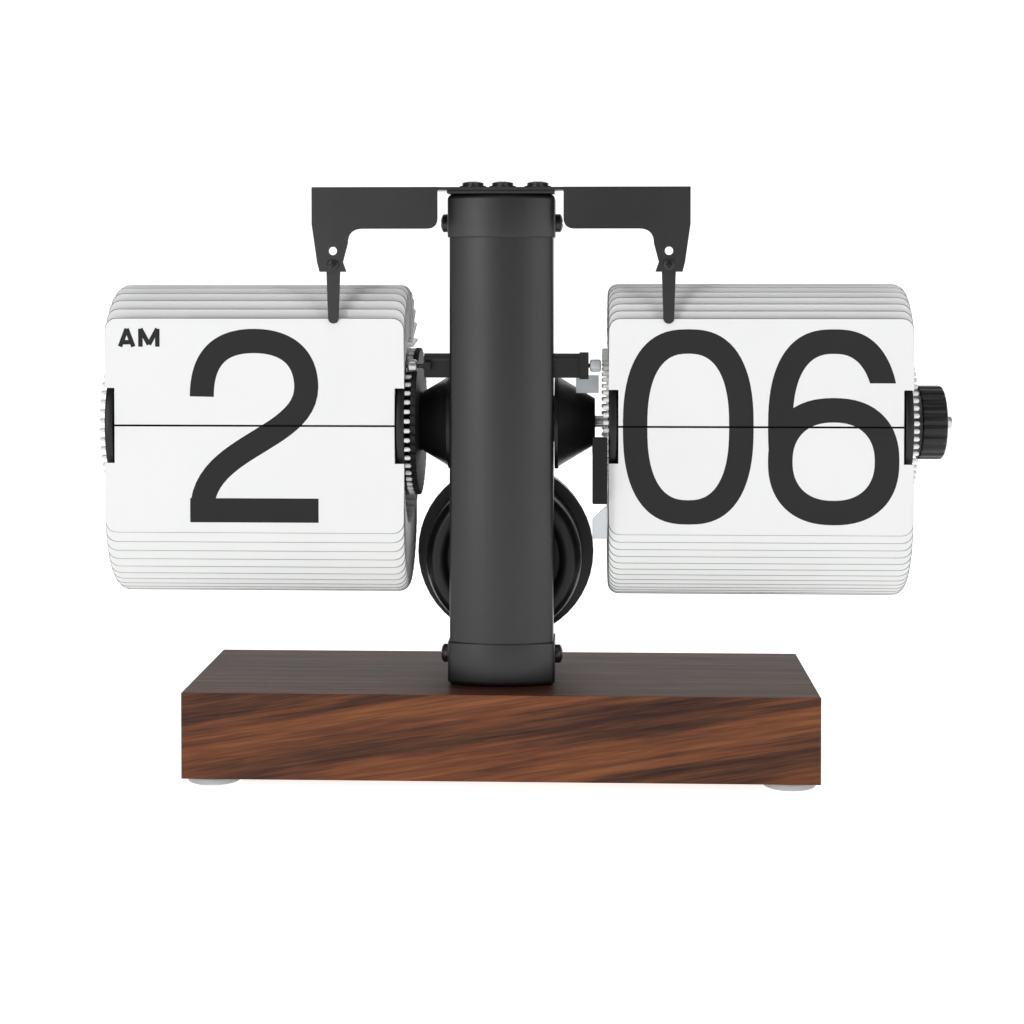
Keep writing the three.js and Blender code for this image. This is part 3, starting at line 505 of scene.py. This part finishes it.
# ---- leaves -------------------------------------------------------------------------------
SHEET = 0.3 * MM
SHEET_ROOT = -0.2 * MM
EAR_RADIUS = 0.95 * MM
EAR_REACH = 2.3 * MM
PRINT_PROUD = 0.015 * MM
PRINT_LAYER = 0.012 * MM


def arc_corner(centre, radius, start, steps=6):
    """A quarter circle of points about centre, which begins at the angle start."""
    angle = start + np.linspace(0, math.pi / 2, steps)
    return np.stack([centre[0] + radius * np.cos(angle), centre[1] + radius * np.sin(angle)], 1)


def leaf_outline(drum, tail):
    """A leaf's outline (x, s), s from its pivot: notched beside the pivot, rounded at its free
    corners."""
    (left, right), top, notch, tall, r = drum.span, drum.top, drum.notch, drum.notch_tall, drum.corner
    return np.concatenate([
        [(left + notch, tail), (right - notch, tail), (right - notch, tall), (right, tall)],
        arc_corner((right - r, top - r), r, 0),
        arc_corner((left + r, top - r), r, math.pi / 2),
        [(left, tall), (left + notch, tall)]])


def leaf_block(outline, pivot, way, thickness, face):
    """One leaf: its outline laid along way from pivot in the side view, given a thickness. The
    sheet on the face's side is drawn in by a quarter millimetre, so that the cut edge slopes and its
    painted shade, the dark line between leaves, can be seen."""
    pivot, way = np.asarray(pivot), np.asarray(way)
    normal = np.array([-way[1], way[0]])
    middle = (outline.min(0) + outline.max(0)) / 2
    inward = np.sign(middle - outline) * 0.25 * MM
    drawn = outline + np.where(outline[:, 1:2] > middle[1], inward, 0)
    sheets = []
    for side in (-1, 1):
        flat = drawn if side == face else outline
        spots = pivot + flat[:, 1:2] * way + side * thickness / 2 * normal
        sheets.append(np.column_stack([flat[:, 0], spots]))
    count = len(outline)
    faces = [list(range(count)), list(range(2 * count - 1, count - 1, -1))]
    walls = [[i, (i + 1) % count, (i + 1) % count + count, i + count] for i in range(count)]
    return np.concatenate(sheets), faces, walls


def leaf_stack(name, outline, pivots, ways, body, node, face=1, thickness=SHEET):
    """Many leaves as one piece: white faces, and cut edges dark grey with painted shade for the shadow lines
    between the leaves.
    """
    points, faces, edge_shade_marks = [], [], []
    for pivot, way in zip(pivots, ways):
        start = len(points) * 2 * len(outline)
        block, flats, walls = leaf_block(outline, pivot, way, thickness, face)
        points.append(block)
        faces += [[index + start for index in corners] for corners in flats + walls]
        # The walls take the second material, the dark grey painted shade between the leaves.
        edge_shade_marks += [0] * len(flats) + [1] * len(walls)
    obj = piece(name, np.concatenate(points), faces, body, LEAF_WHITE, node, (LEAF_EDGE_SHADE,), smooth=30,
                merge=False)
    shape = bmesh.new()
    shape.from_mesh(obj.data)
    bmesh.ops.recalc_face_normals(shape, faces=shape.faces)
    shape.to_mesh(obj.data)
    shape.free()
    obj.data.polygons.foreach_set("material_index", edge_shade_marks)
    return obj


class Drum:
    """What the leaves of one drum share, read from the frame."""

    def __init__(self, name, count):
        """Measures the leaf, its notch and its pivot circle from the nodes and the joint."""
        self.name, self.count = name, count
        self.body, self.leaf_body = f"{name}_drum", f"{name}_falling_leaf"
        low, high = box_of(f"{name}_upper_leaf")
        pivot = np.array(JOINTS[f"{name}_leaf_fall"]["pos_m"])[1:]
        leaf = corners_of(f"{name}_upper_leaf")
        edge = leaf[leaf[:, 0] < low[0] + CLOSE]
        tail = leaf[leaf[:, 2] < low[2] + CLOSE]
        self.span = (low[0], high[0])
        self.front_y, self.thickness = low[1], high[1] - low[1]
        self.split = (low[2] - box_of(f"{name}_lower_leaf")[1][2]) / 2
        self.half_tall = high[2] - SPLIT
        self.notch = tail[:, 0].min() - low[0]
        self.notch_tall = edge[:, 2].min() - pivot[1]
        self.corner = high[2] - edge[:, 2].max()
        self.pitch = 2 * math.pi / count
        self.centre = AXIS[1:]
        self.radius = float(np.linalg.norm(pivot - self.centre))
        self.rise = pivot[1] - self.centre[1]
        self.top = high[2] - pivot[1]
        self.lift = self.find_lift()

    def find_lift(self):
        """How far the waiting leaves stand off the tangent: the lift whose highest tip comes
        nearest to the top of the upper pack."""
        lifts = np.linspace(0, 0.6, 241)[:, None]
        angle = np.linspace(0, math.pi / 2, 91)
        tips = self.radius * np.sin(angle) + self.top * np.cos(angle - lifts * np.sin(2 * angle))
        wanted = box_of(f"{self.name}_upper_pack")[1][2] - SPLIT
        return float(lifts[abs(tips.max(1) - wanted).argmin(), 0])

    def pivot(self, angle):
        """The place on the pivot circle, angle counted from the front upwards."""
        return self.centre + self.radius * np.array([-math.cos(angle), math.sin(angle)])

    def waiting_way(self, angle):
        """The direction of a waiting leaf: the tangent, lifted towards the upright in front."""
        lean = angle - (self.lift * math.sin(2 * angle) if angle < math.pi / 2 else 0)
        return np.array([math.sin(lean), math.cos(lean)])


# The numerals are a plain sans drawn in a frame whose half height is 1: two thirds as wide as they
# are tall, with a stroke an eighth of their height.
HALF_WIDE = 2 / 3
STROKE = 1 / 4
NUMERAL_SHARE = 0.9


def cubic(a, b, c, d, steps=24):
    """A cubic Bezier curve from a to d: a leads at t = 0 and d at t = 1, and b and c pull between."""
    t = np.linspace(0, 1, steps)[:, None]
    a, b, c, d = (np.array(point, float) for point in (a, b, c, d))
    return (1 - t) ** 3 * a + 3 * (1 - t) ** 2 * t * b + 3 * (1 - t) * t ** 2 * c + t ** 3 * d


def ribbon(line, width):
    """A flat stroke: a centre line with half its width laid off along the normal to each side."""
    line = np.asarray(line, float)
    width = np.interp(np.linspace(0, 1, len(line)), np.linspace(0, 1, np.size(width)), np.atleast_1d(width))
    way = np.gradient(line, axis=0)
    way /= np.linalg.norm(way, axis=1)[:, None]
    normal = np.stack([-way[:, 1], way[:, 0]], 1)
    points = np.stack([line + normal * width[:, None] / 2, line - normal * width[:, None] / 2], 1)
    return points.reshape(-1, 2), quads(len(line), 2)


def oval_band(outer, inner, level=None, end=2 * math.pi, centre=(0, 0), power=2.5, steps=72):
    """The band between two superellipses, |x/a|^n + |y/b|^n = 1. Given a level, it starts where
    each of them passes that height on the right, so that its end is cut level."""
    rings = []
    for a, b in (outer, inner):
        first = 0.0 if level is None else math.asin((level / b) ** (power / 2))
        angle = np.linspace(first, end, steps, endpoint=level is not None)
        cosine, sine = np.cos(angle), np.sin(angle)
        x = a * np.sign(cosine) * abs(cosine) ** (2 / power)
        y = b * np.sign(sine) * abs(sine) ** (2 / power)
        rings.append(np.stack([x + centre[0], y + centre[1]], 1))
    return np.stack(rings, 1).reshape(-1, 2), quads(steps, 2, wrap_rows=level is None)


def numeral(symbol):
    """The strokes of one numeral in its unit frame, as (points, faces) pairs."""
    w, t = HALF_WIDE, STROKE
    side, cap = w - t / 2, 1 - t / 2
    if symbol == "0":
        return [oval_band((w, 1), (w - t, 1 - t))]
    if symbol == "6":
        bowl = 0.65
        return [oval_band((w, bowl), (w - t, bowl - t), centre=(0, bowl - 1), power=2.3),
                oval_band((w, 1), (w - t, 1 - t), level=0.45, end=math.pi * 1.07)]
    if symbol == "7":
        stem = cubic((side, cap), (0.2, 0.4), (-0.15, -0.2), (-0.25, -1))
        return [ribbon([(-w, cap), (w, cap)], t), ribbon(stem, t)]
    spine = np.concatenate([
        cubic((-side, 0.3), (-side, 0.7), (-0.35, cap), (0, cap)),
        cubic((0, cap), (0.35, cap), (side, 0.7), (side, 0.4))[1:],
        cubic((side, 0.4), (side, -0.15), (-side, -0.2), (-side, -cap))[1:]])
    return [ribbon(spine, t), ribbon([(-w, -cap), (w, -cap)], t)]


def letters(tall):
    """The letters AM, tall high, from a corner at the origin, in strokes a quarter of their height."""
    wide, stroke = tall, tall / 4
    m, m_wide = wide * 1.15, wide * 1.2
    lines = [
        [(stroke / 2, 0), (wide / 2, tall)], [(wide / 2, tall), (wide - stroke / 2, 0)],
        [(wide / 4, tall / 4), (wide * 3 / 4, tall / 4)],
        [(m + stroke / 2, 0), (m + stroke / 2, tall)],
        [(m + m_wide - stroke / 2, 0), (m + m_wide - stroke / 2, tall)],
        [(m + stroke / 2, tall), (m + m_wide / 2, tall / 8)],
        [(m + m_wide - stroke / 2, tall), (m + m_wide / 2, tall / 8)]]
    return [ribbon(line, stroke) for line in lines]


def placed(strokes, scale, x, z=0.0):
    """Strokes scaled and moved: x along the leaf, z above the split."""
    return [(points * scale + [x, z], faces) for points, faces in strokes]


def across_leaf(drum, symbols):
    """Numerals side by side, with equal spaces between them and to the leaf's ends."""
    half = drum.half_tall * NUMERAL_SHARE
    wide = 2 * HALF_WIDE * half
    left, right = drum.span
    space = (right - left - wide * len(symbols)) / (len(symbols) + 1)
    starts = left + space + (wide + space) * np.arange(len(symbols))
    return [stroke for start, symbol in zip(starts, symbols)
            for stroke in placed(numeral(symbol), half, start + wide / 2)]


def in_corner(drum):
    """The letters hang from the numerals' cap line, a sixth of the half leaf tall and an eighth of
    it in from the leaf's end."""
    tall = drum.half_tall / 6
    cap_line = drum.half_tall * NUMERAL_SHARE
    return placed(letters(tall), 1, drum.span[0] + drum.half_tall / 8, cap_line - tall)


def print_half(name, strokes, upper, place, body, gap):
    """Prints the half of some strokes that lies above or below the split. place turns (x, height
    above the split, layer) into points; each stroke is laid a hair above the one before."""
    keep = 1 if upper else -1
    offsets = np.cumsum([0] + [len(flat) for flat, _ in strokes])
    layers = np.repeat(np.arange(len(strokes)), [len(flat) for flat, _ in strokes])
    points = np.column_stack([np.concatenate([flat for flat, _ in strokes]), layers])
    faces = np.concatenate([sides + offset for (_, sides), offset in zip(strokes, offsets)])
    obj = piece(name, points, faces, body, PRINT_BLACK, merge=False)
    shape = bmesh.new()
    shape.from_mesh(obj.data)
    everything = shape.verts[:] + shape.edges[:] + shape.faces[:]
    bmesh.ops.bisect_plane(shape, geom=everything, plane_co=(0, keep * gap, 0), plane_no=(0, -keep, 0),
                           clear_outer=True)
    shape.to_mesh(obj.data)
    shape.free()
    spots = np.empty(len(obj.data.vertices) * 3)
    obj.data.vertices.foreach_get("co", spots)
    x, y, layer = spots.reshape(-1, 3).T
    obj.data.vertices.foreach_set("co", np.stack(place(x, y, layer), 1).ravel())
    obj.data.polygons.foreach_set("use_smooth", [False] * len(obj.data.polygons))
    ink = obj.modifiers.new("ink", "SOLIDIFY")
    ink.thickness = 0.02 * MM
    ink.offset = 0


def make_leaves(drum, shown, following):
    """The four groups of leaves of one drum, and the print on those whose faces can be seen.
    Used leaves hang straight down."""
    name, pitch = drum.name, drum.pitch
    outline = leaf_outline(drum, drum.split - drum.rise)
    up, down = np.array([0.0, 1.0]), np.array([0.0, -1.0])
    leaf_stack(f"{name}_falling_sheet", outline, [drum.pivot(pitch / 2)], [up],
               drum.leaf_body, f"{name}_upper_leaf", 1, drum.thickness)
    leaf_stack(f"{name}_fallen_sheet", outline, [drum.pivot(-pitch / 2)], [down],
               "stand", f"{name}_lower_leaf", -1, drum.thickness)
    short = leaf_outline(drum, SHEET_ROOT)
    waiting = np.arange(1.5, drum.count / 2 + 0.1) * pitch
    leaf_stack(f"{name}_waiting_sheets", short, [drum.pivot(angle) for angle in waiting],
               [drum.waiting_way(angle) for angle in waiting], "stand", f"{name}_upper_pack")
    used = -np.arange(1.5, drum.count / 2 - 2) * pitch
    leaf_stack(f"{name}_used_sheets", short, [drum.pivot(angle) for angle in used],
               [down] * len(used), "stand", f"{name}_lower_pack", -1)

    front = drum.front_y - PRINT_PROUD
    back = drum.front_y + drum.thickness + PRINT_PROUD
    root, way = drum.pivot(1.5 * pitch), drum.waiting_way(1.5 * pitch)
    out = np.array([-way[1], way[0]])

    def ahead(x, y, layer):
        """On the two leaves that face the front."""
        return x, front - layer * PRINT_LAYER, SPLIT + y

    def behind(x, y, layer):
        """On the falling leaf's back, turned over about its pivot so that it reads once it is down."""
        return x, back + layer * PRINT_LAYER, SPLIT + 2 * drum.rise - y

    def next_leaf(x, y, layer):
        """On the outer face of the first waiting leaf, along its lean."""
        proud = SHEET / 2 + 2 * PRINT_PROUD + layer * PRINT_LAYER
        side = root + np.outer(y - drum.rise, way) + np.outer(proud, out)
        return x, side[:, 0], side[:, 1]

    print_half(f"{name}_numeral_upper", shown, True, ahead, drum.leaf_body, drum.split)
    print_half(f"{name}_numeral_lower", shown, False, ahead, "stand", drum.split)
    print_half(f"{name}_next_numeral_lower", following, False, behind, drum.leaf_body, drum.split)
    print_half(f"{name}_next_numeral_upper", following, True, next_leaf, "stand", drum.split)


def make_ears(drum):
    """The round ends of every leaf's two ears, which stand out of the discs round the pivot circle."""
    name = drum.name
    low, high = drum.span
    segments = 8
    profile = np.array([(-1.0 * MM, 0), (-1.0 * MM, EAR_RADIUS), (EAR_REACH * 0.8, EAR_RADIUS),
                        (EAR_REACH, EAR_RADIUS * 0.5), (EAR_REACH, 0)])
    sides = quads(len(profile), segments, wrap_columns=True)
    angle = (np.arange(drum.count) + 0.5) * drum.pitch
    points, faces = [], []
    for end, out in ((low, -1), (high, 1)):
        for pivot in angle:
            centre = (end, *drum.pivot(pivot))
            ear = turned_points("x", centre, profile * [out, 1], segments)
            faces.append(sides + len(points) * len(profile) * segments)
            points.append(ear.reshape(-1, 3))
    piece(f"{name}_leaf_ears", np.concatenate(points), np.concatenate(faces), drum.body, EAR_WHITE, smooth=50)


# ---- drums --------------------------------------------------------------------------------
BORE = 2.8 * MM
BELL_BORE = 3.1 * MM


def make_drum_parts(drum):
    """The drum's two discs: each is turned from a rim, a field sunk inside it and a raised hub
    round the bore."""
    for which in ("inner", "outer"):
        node = f"{drum.name}_disc_{which}"
        low, high = box_of(node)
        radius = (high[2] - low[2]) / 2
        x0, x1 = low[0], high[0]
        face = x0 if abs(x0 - AXIS[0]) > abs(x1 - AXIS[0]) else x1
        inward = x1 if face == x0 else x0
        step = 0.8 * MM if face > inward else -0.8 * MM
        outline = [(inward, BORE), (inward, radius), (face, radius), (face, radius - 5 * MM),
                   (face - step, radius - 6 * MM), (face - step, 10 * MM), (face, 9 * MM), (face, BORE)]
        profile = rounded(outline, 0.6 * MM, 4)
        turned(f"{node}_moulded", "x", ON_AXIS, profile, drum.body, MOULDED_BLACK, node, closed=True)


def make_knob():
    """The setting knob: flutes are a rounded wave of the radius that dies away on the domed face."""
    low, high = box_of("setting_knob")
    radius = (high[2] - low[2]) / 2
    width = high[0] - low[0]
    edge = rounded([(0, BORE), (0, radius), (width * 0.92, radius), (width, radius - 1.6 * MM),
                    (width * 0.97, 5 * MM), (width * 0.97, BORE)], 0.9 * MM, 8)

    def flute(angle, along):
        """One, less the cube of a cosine wave that goes twenty times round, faded near the face."""
        wave = (1 + np.cos(20 * angle)) / 2
        return 1 - 0.05 * wave ** 3 * np.clip((width * 0.97 - along) / (width * 0.08), 0, 1)

    centre = (low[0], AXIS[1], AXIS[2])
    turned("setting_knob_moulded", "x", centre, edge, "minute_drum", MOULDED_BLACK, "setting_knob",
           360, flute, closed=True)


def make_axles():
    """Each axle is a plain cylinder with rounded ends."""
    for name, body in (("hour_axle", "hour_drum"), ("minute_axle", "minute_drum")):
        low, high = box_of(name)
        radius = (high[2] - low[2]) / 2
        outline = rounded([(low[0], 0), (low[0], radius), (high[0], radius), (high[0], 0)], 0.5 * MM, 4)
        turned(f"{name}_turned", "x", ON_AXIS, outline, body, STEEL, name, 48)


def make_bells():
    """Each bell is a cone: its radius falls evenly from the column outwards, behind a flat flange
    at the large end."""
    for name, side in (("hour_bell", -1), ("minute_bell", 1)):
        low, high = box_of(name)
        wide = (high[2] - low[2]) / 2
        inner, outer = (high[0], low[0]) if side < 0 else (low[0], high[0])
        t = np.linspace(0, 1, 14)
        flare = np.stack([inner + (outer - inner) * (0.1 + 0.86 * t), wide * (0.51 + 0.44 * (1 - t))], 1)
        rim = inner + (outer - inner) * 0.09
        outline = np.concatenate([[(inner, BELL_BORE), (inner, wide), (rim, wide)], flare,
                                  [(outer, wide * 0.49), (outer, BELL_BORE)]])
        turned(f"{name}_moulded", "x", ON_AXIS, outline, "stand", MOULDED_BLACK, name, closed=True)


# ---- screws -------------------------------------------------------------------------------
WASHER_TALL = 0.6 * MM


def cross_head(name, axis, centre, out, radius, tall, body, material, node, washer=0.0):
    """A pan head whose crown dips into a cross: the depth is greatest where either arm of the cross
    passes, and dies away at its ends."""
    rings = np.array([0, 0.12, 0.24, 0.36, 0.48, 0.6, 0.75, 0.88, 0.96, 1.0])
    angle = np.linspace(0, 2 * math.pi, 64, endpoint=False)
    r, a = np.meshgrid(rings * radius, angle, indexing="ij")
    u, v = r * np.cos(a), r * np.sin(a)
    crown = tall * np.sqrt(np.clip(1 - (r / radius * 0.96) ** 2, 0, 1)) * 0.55 + tall * 0.45
    arm = 0.13 * radius
    in_cross = ((abs(u) < arm) | (abs(v) < arm)) & (r < 0.56 * radius)
    height = crown - in_cross * tall * 0.45
    under = [(washer, 0.0), (washer, -WASHER_TALL), (0.0, -WASHER_TALL)] if washer else [(0.0, 0.0)]
    foot = np.array([(radius, 0.0)] + under)
    rim_u = foot[:, :1] * np.cos(angle)
    rim_v = foot[:, :1] * np.sin(angle)
    u, v = np.concatenate([u, rim_u]), np.concatenate([v, rim_v])
    lift = out * np.concatenate([height, foot[:, 1:] * np.ones(len(angle))])
    order = {"x": (lift, u, v), "y": (u, lift, v), "z": (u, v, lift)}[axis]
    points = np.stack(order, -1) + np.asarray(centre)
    faces = quads(len(points), len(angle), wrap_columns=True)
    piece(name, points, faces, body, material, node, smooth=40)


def make_screws():
    """The bracket's screws on their washers, the column's side screws and the fingers' screws."""
    for number in (1, 2, 3):
        node = f"bracket_screw_{number}"
        low, high = box_of(node)
        plate = box_of("arm_bracket")[1][2]
        base = plate + (high[2] - plate) / 4
        washer = (high[0] - low[0]) / 2
        centre = ((low[0] + high[0]) / 2, (low[1] + high[1]) / 2, base)
        cross_head(f"{node}_head", "z", centre, 1, washer * 0.8, high[2] - base, "stand", DARK_STEEL, node,
                   washer=washer)
    for place in ("top", "bottom"):
        for hand, out in (("left", -1), ("right", 1)):
            node = f"side_screw_{place}_{hand}"
            low, high = box_of(node)
            start = low[0] if out > 0 else high[0]
            centre = (start, (low[1] + high[1]) / 2, (low[2] + high[2]) / 2)
            radius = (high[1] - low[1]) / 2
            cross_head(f"{node}_head", "x", centre, out, radius, high[0] - low[0], "stand", DARK_STEEL, node)
    for name in ("hour", "minute"):
        node = f"{name}_finger_screw"
        low, high = box_of(node)
        web = box_of("arm_bracket")[0][1]
        centre = ((low[0] + high[0]) / 2, web, (low[2] + high[2]) / 2)
        radius = (high[0] - low[0]) / 2
        cross_head(f"{node}_head", "y", centre, -1, radius, web - low[1], "stand", DARK_STEEL, node)


# ---- housing ------------------------------------------------------------------------------
def make_housing():
    """The housing's front shell is turned: a sunk middle, a flat bead round it and a sloping rim."""
    low, high = box_of("housing_front")
    centre = (COLUMN_X, 0, (low[2] + high[2]) / 2)
    radius, y0, y1 = (high[2] - low[2]) / 2, low[1], high[1]
    front = [(y0 + 2 * MM, 0), (y0 + 2 * MM, radius - 9 * MM), (y0 + 0.6 * MM, radius - 8 * MM),
             (y0, radius - 6.5 * MM), (y0, radius - 3 * MM), (y0 + 1.6 * MM, radius - 1 * MM),
             (y0 + 4 * MM, radius), (y1, radius), (y1, radius - 2 * MM),
             (y0 + 4 * MM, radius - 2 * MM), (y0 + 4 * MM, 0)]
    turned("housing_front_moulded", "y", centre, rounded(front, 0.8 * MM, 4), "stand", MOULDED_BLACK,
           "housing_front", 128)


HOUR_DRUM = Drum("hour", 48)
MINUTE_DRUM = Drum("minute", 60)


def make_displays():
    """Both drums: the hours show 2 AM, with the same hour behind, and the minutes 06, with 07."""
    hours = across_leaf(HOUR_DRUM, "2") + in_corner(HOUR_DRUM)
    make_leaves(HOUR_DRUM, hours, hours)
    make_leaves(MINUTE_DRUM, across_leaf(MINUTE_DRUM, "06"), across_leaf(MINUTE_DRUM, "07"))
    for drum in (HOUR_DRUM, MINUTE_DRUM):
        make_ears(drum)
        make_drum_parts(drum)


def finish_cad_nodes():
    """Finishes for the nodes whose CAD shape stays, and rounded copies of the flat ones."""
    for node, material in {
        "hour_drum_core": MATT_BLACK, "minute_drum_core": MATT_BLACK, "minute_gear": BRASS,
        "motor_pinion": BRASS, "motor": STEEL, "rocker_pin": STEEL, "battery": SLEEVE,
        "contact_spring": STEEL, "base_bolt": STEEL, "base_washer": STEEL, "housing_rear": MOULDED_BLACK,
    }.items():
        mesh = frame["nodes"][node].data
        mesh.materials.clear()
        mesh.materials.append(material)
    for node, body, material, width in (
        ("arm_bracket", "stand", SATIN_BLACK, 0.5), ("pad_plate", "stand", SATIN_BLACK, 0.25),
        ("hour_finger", "stand", SATIN_BLACK, 0.15), ("minute_finger", "stand", SATIN_BLACK, 0.15),
        ("rear_bridge", "stand", STEEL, 0.4), ("battery_cover", "battery_door", MOULDED_BLACK, 0.5),
        ("rocker_bar", "rocker", MOULDED_BLACK, 0.35), ("hour_roller", "rocker", STEEL, 0.3),
        ("minute_roller", "rocker", PALE_PLASTIC, 0.5), ("minute_stop_block", "stand", MATT_BLACK, 0.5),
        ("release_lever", "stand", PALE_PLASTIC, 0.3), ("guide_plate", "stand", PALE_PLASTIC, 0.25),
        ("hour_step_wheel", "hour_drum", MATT_BLACK, 0.15),
    ):
        softened_copy(node, body, material, width * MM)


def make_studio():
    """A pale, faintly lit floor that curves up behind in a quarter circle, a soft key on the left,
    a weaker fill on the right and a light above."""
    floor = bpy.data.meshes.new("studio_floor")
    turn = np.linspace(0, math.pi / 2, 40)
    ground = np.array([(-4.0, 0.0)])
    sweep = np.stack([1.5 + 3.5 * np.sin(turn), 3.5 - 3.5 * np.cos(turn)], 1)
    line = np.concatenate([ground, sweep, [(5.0, 6.0)]])
    points = np.concatenate([np.column_stack([np.full(len(line), x), line]) for x in (-5.0, 5.0)])
    floor.from_pydata(points.tolist(), [], quads(2, len(line)).tolist())
    floor.polygons.foreach_set("use_smooth", [True] * len(floor.polygons))
    obj = bpy.data.objects.new("studio_floor", floor)
    bpy.context.scene.collection.objects.link(obj)
    material = bpy.data.materials.new("studio_white")
    material.use_nodes = True
    surface = material.node_tree.nodes["Principled BSDF"]
    surface.inputs["Base Color"].default_value = (0.9, 0.9, 0.9, 1)
    surface.inputs["Roughness"].default_value = 0.9
    surface.inputs["Emission Color"].default_value = (1, 1, 1, 1)
    surface.inputs["Emission Strength"].default_value = 0.85
    floor.materials.append(material)
    world = bpy.data.worlds.new("studio_world")
    world.use_nodes = True
    world.node_tree.nodes["Background"].inputs[0].default_value = (1, 1, 1, 1)
    world.node_tree.nodes["Background"].inputs[1].default_value = 0.2
    bpy.context.scene.world = world
    for name, place, wide, tall, power in (
        ("key", (-0.62, -1.2, 0.35), 0.3, 1.1, 4.5), ("fill", (0.85, -1.1, 0.35), 0.3, 1.1, 2.8),
        ("top", (0.0, -0.4, 1.6), 1.2, 0.8, 4.0),
    ):
        light = bpy.data.lights.new(name, "AREA")
        light.shape = "RECTANGLE"
        light.size = wide
        light.size_y = tall
        light.energy = power
        lamp = bpy.data.objects.new(name, light)
        lamp.location = place
        lamp.rotation_euler = (Vector((0, 0, 0.14)) - Vector(place)).to_track_quat("-Z", "Y").to_euler()
        bpy.context.scene.collection.objects.link(lamp)


def make_camera():
    """The camera stands before the clock, a little right of its middle and above its axis."""
    data = bpy.data.cameras.new("camera")
    data.sensor_width = 36
    data.lens = 65.7
    data.shift_y = -0.18
    camera = bpy.data.objects.new("camera", data)
    camera.location = AXIS + np.array([33.2, -791.1, 57.9]) * MM
    camera.rotation_euler = (math.radians(90 - 1.32), 0, math.radians(2.15))
    bpy.context.scene.collection.objects.link(camera)
    bpy.context.scene.camera = camera
    bpy.context.scene.view_settings.view_transform = "Standard"


make_camera()
make_studio()
make_block()
make_feet()
make_column()
make_displays()
make_knob()
make_axles()
make_bells()
make_screws()
make_housing()
finish_cad_nodes()
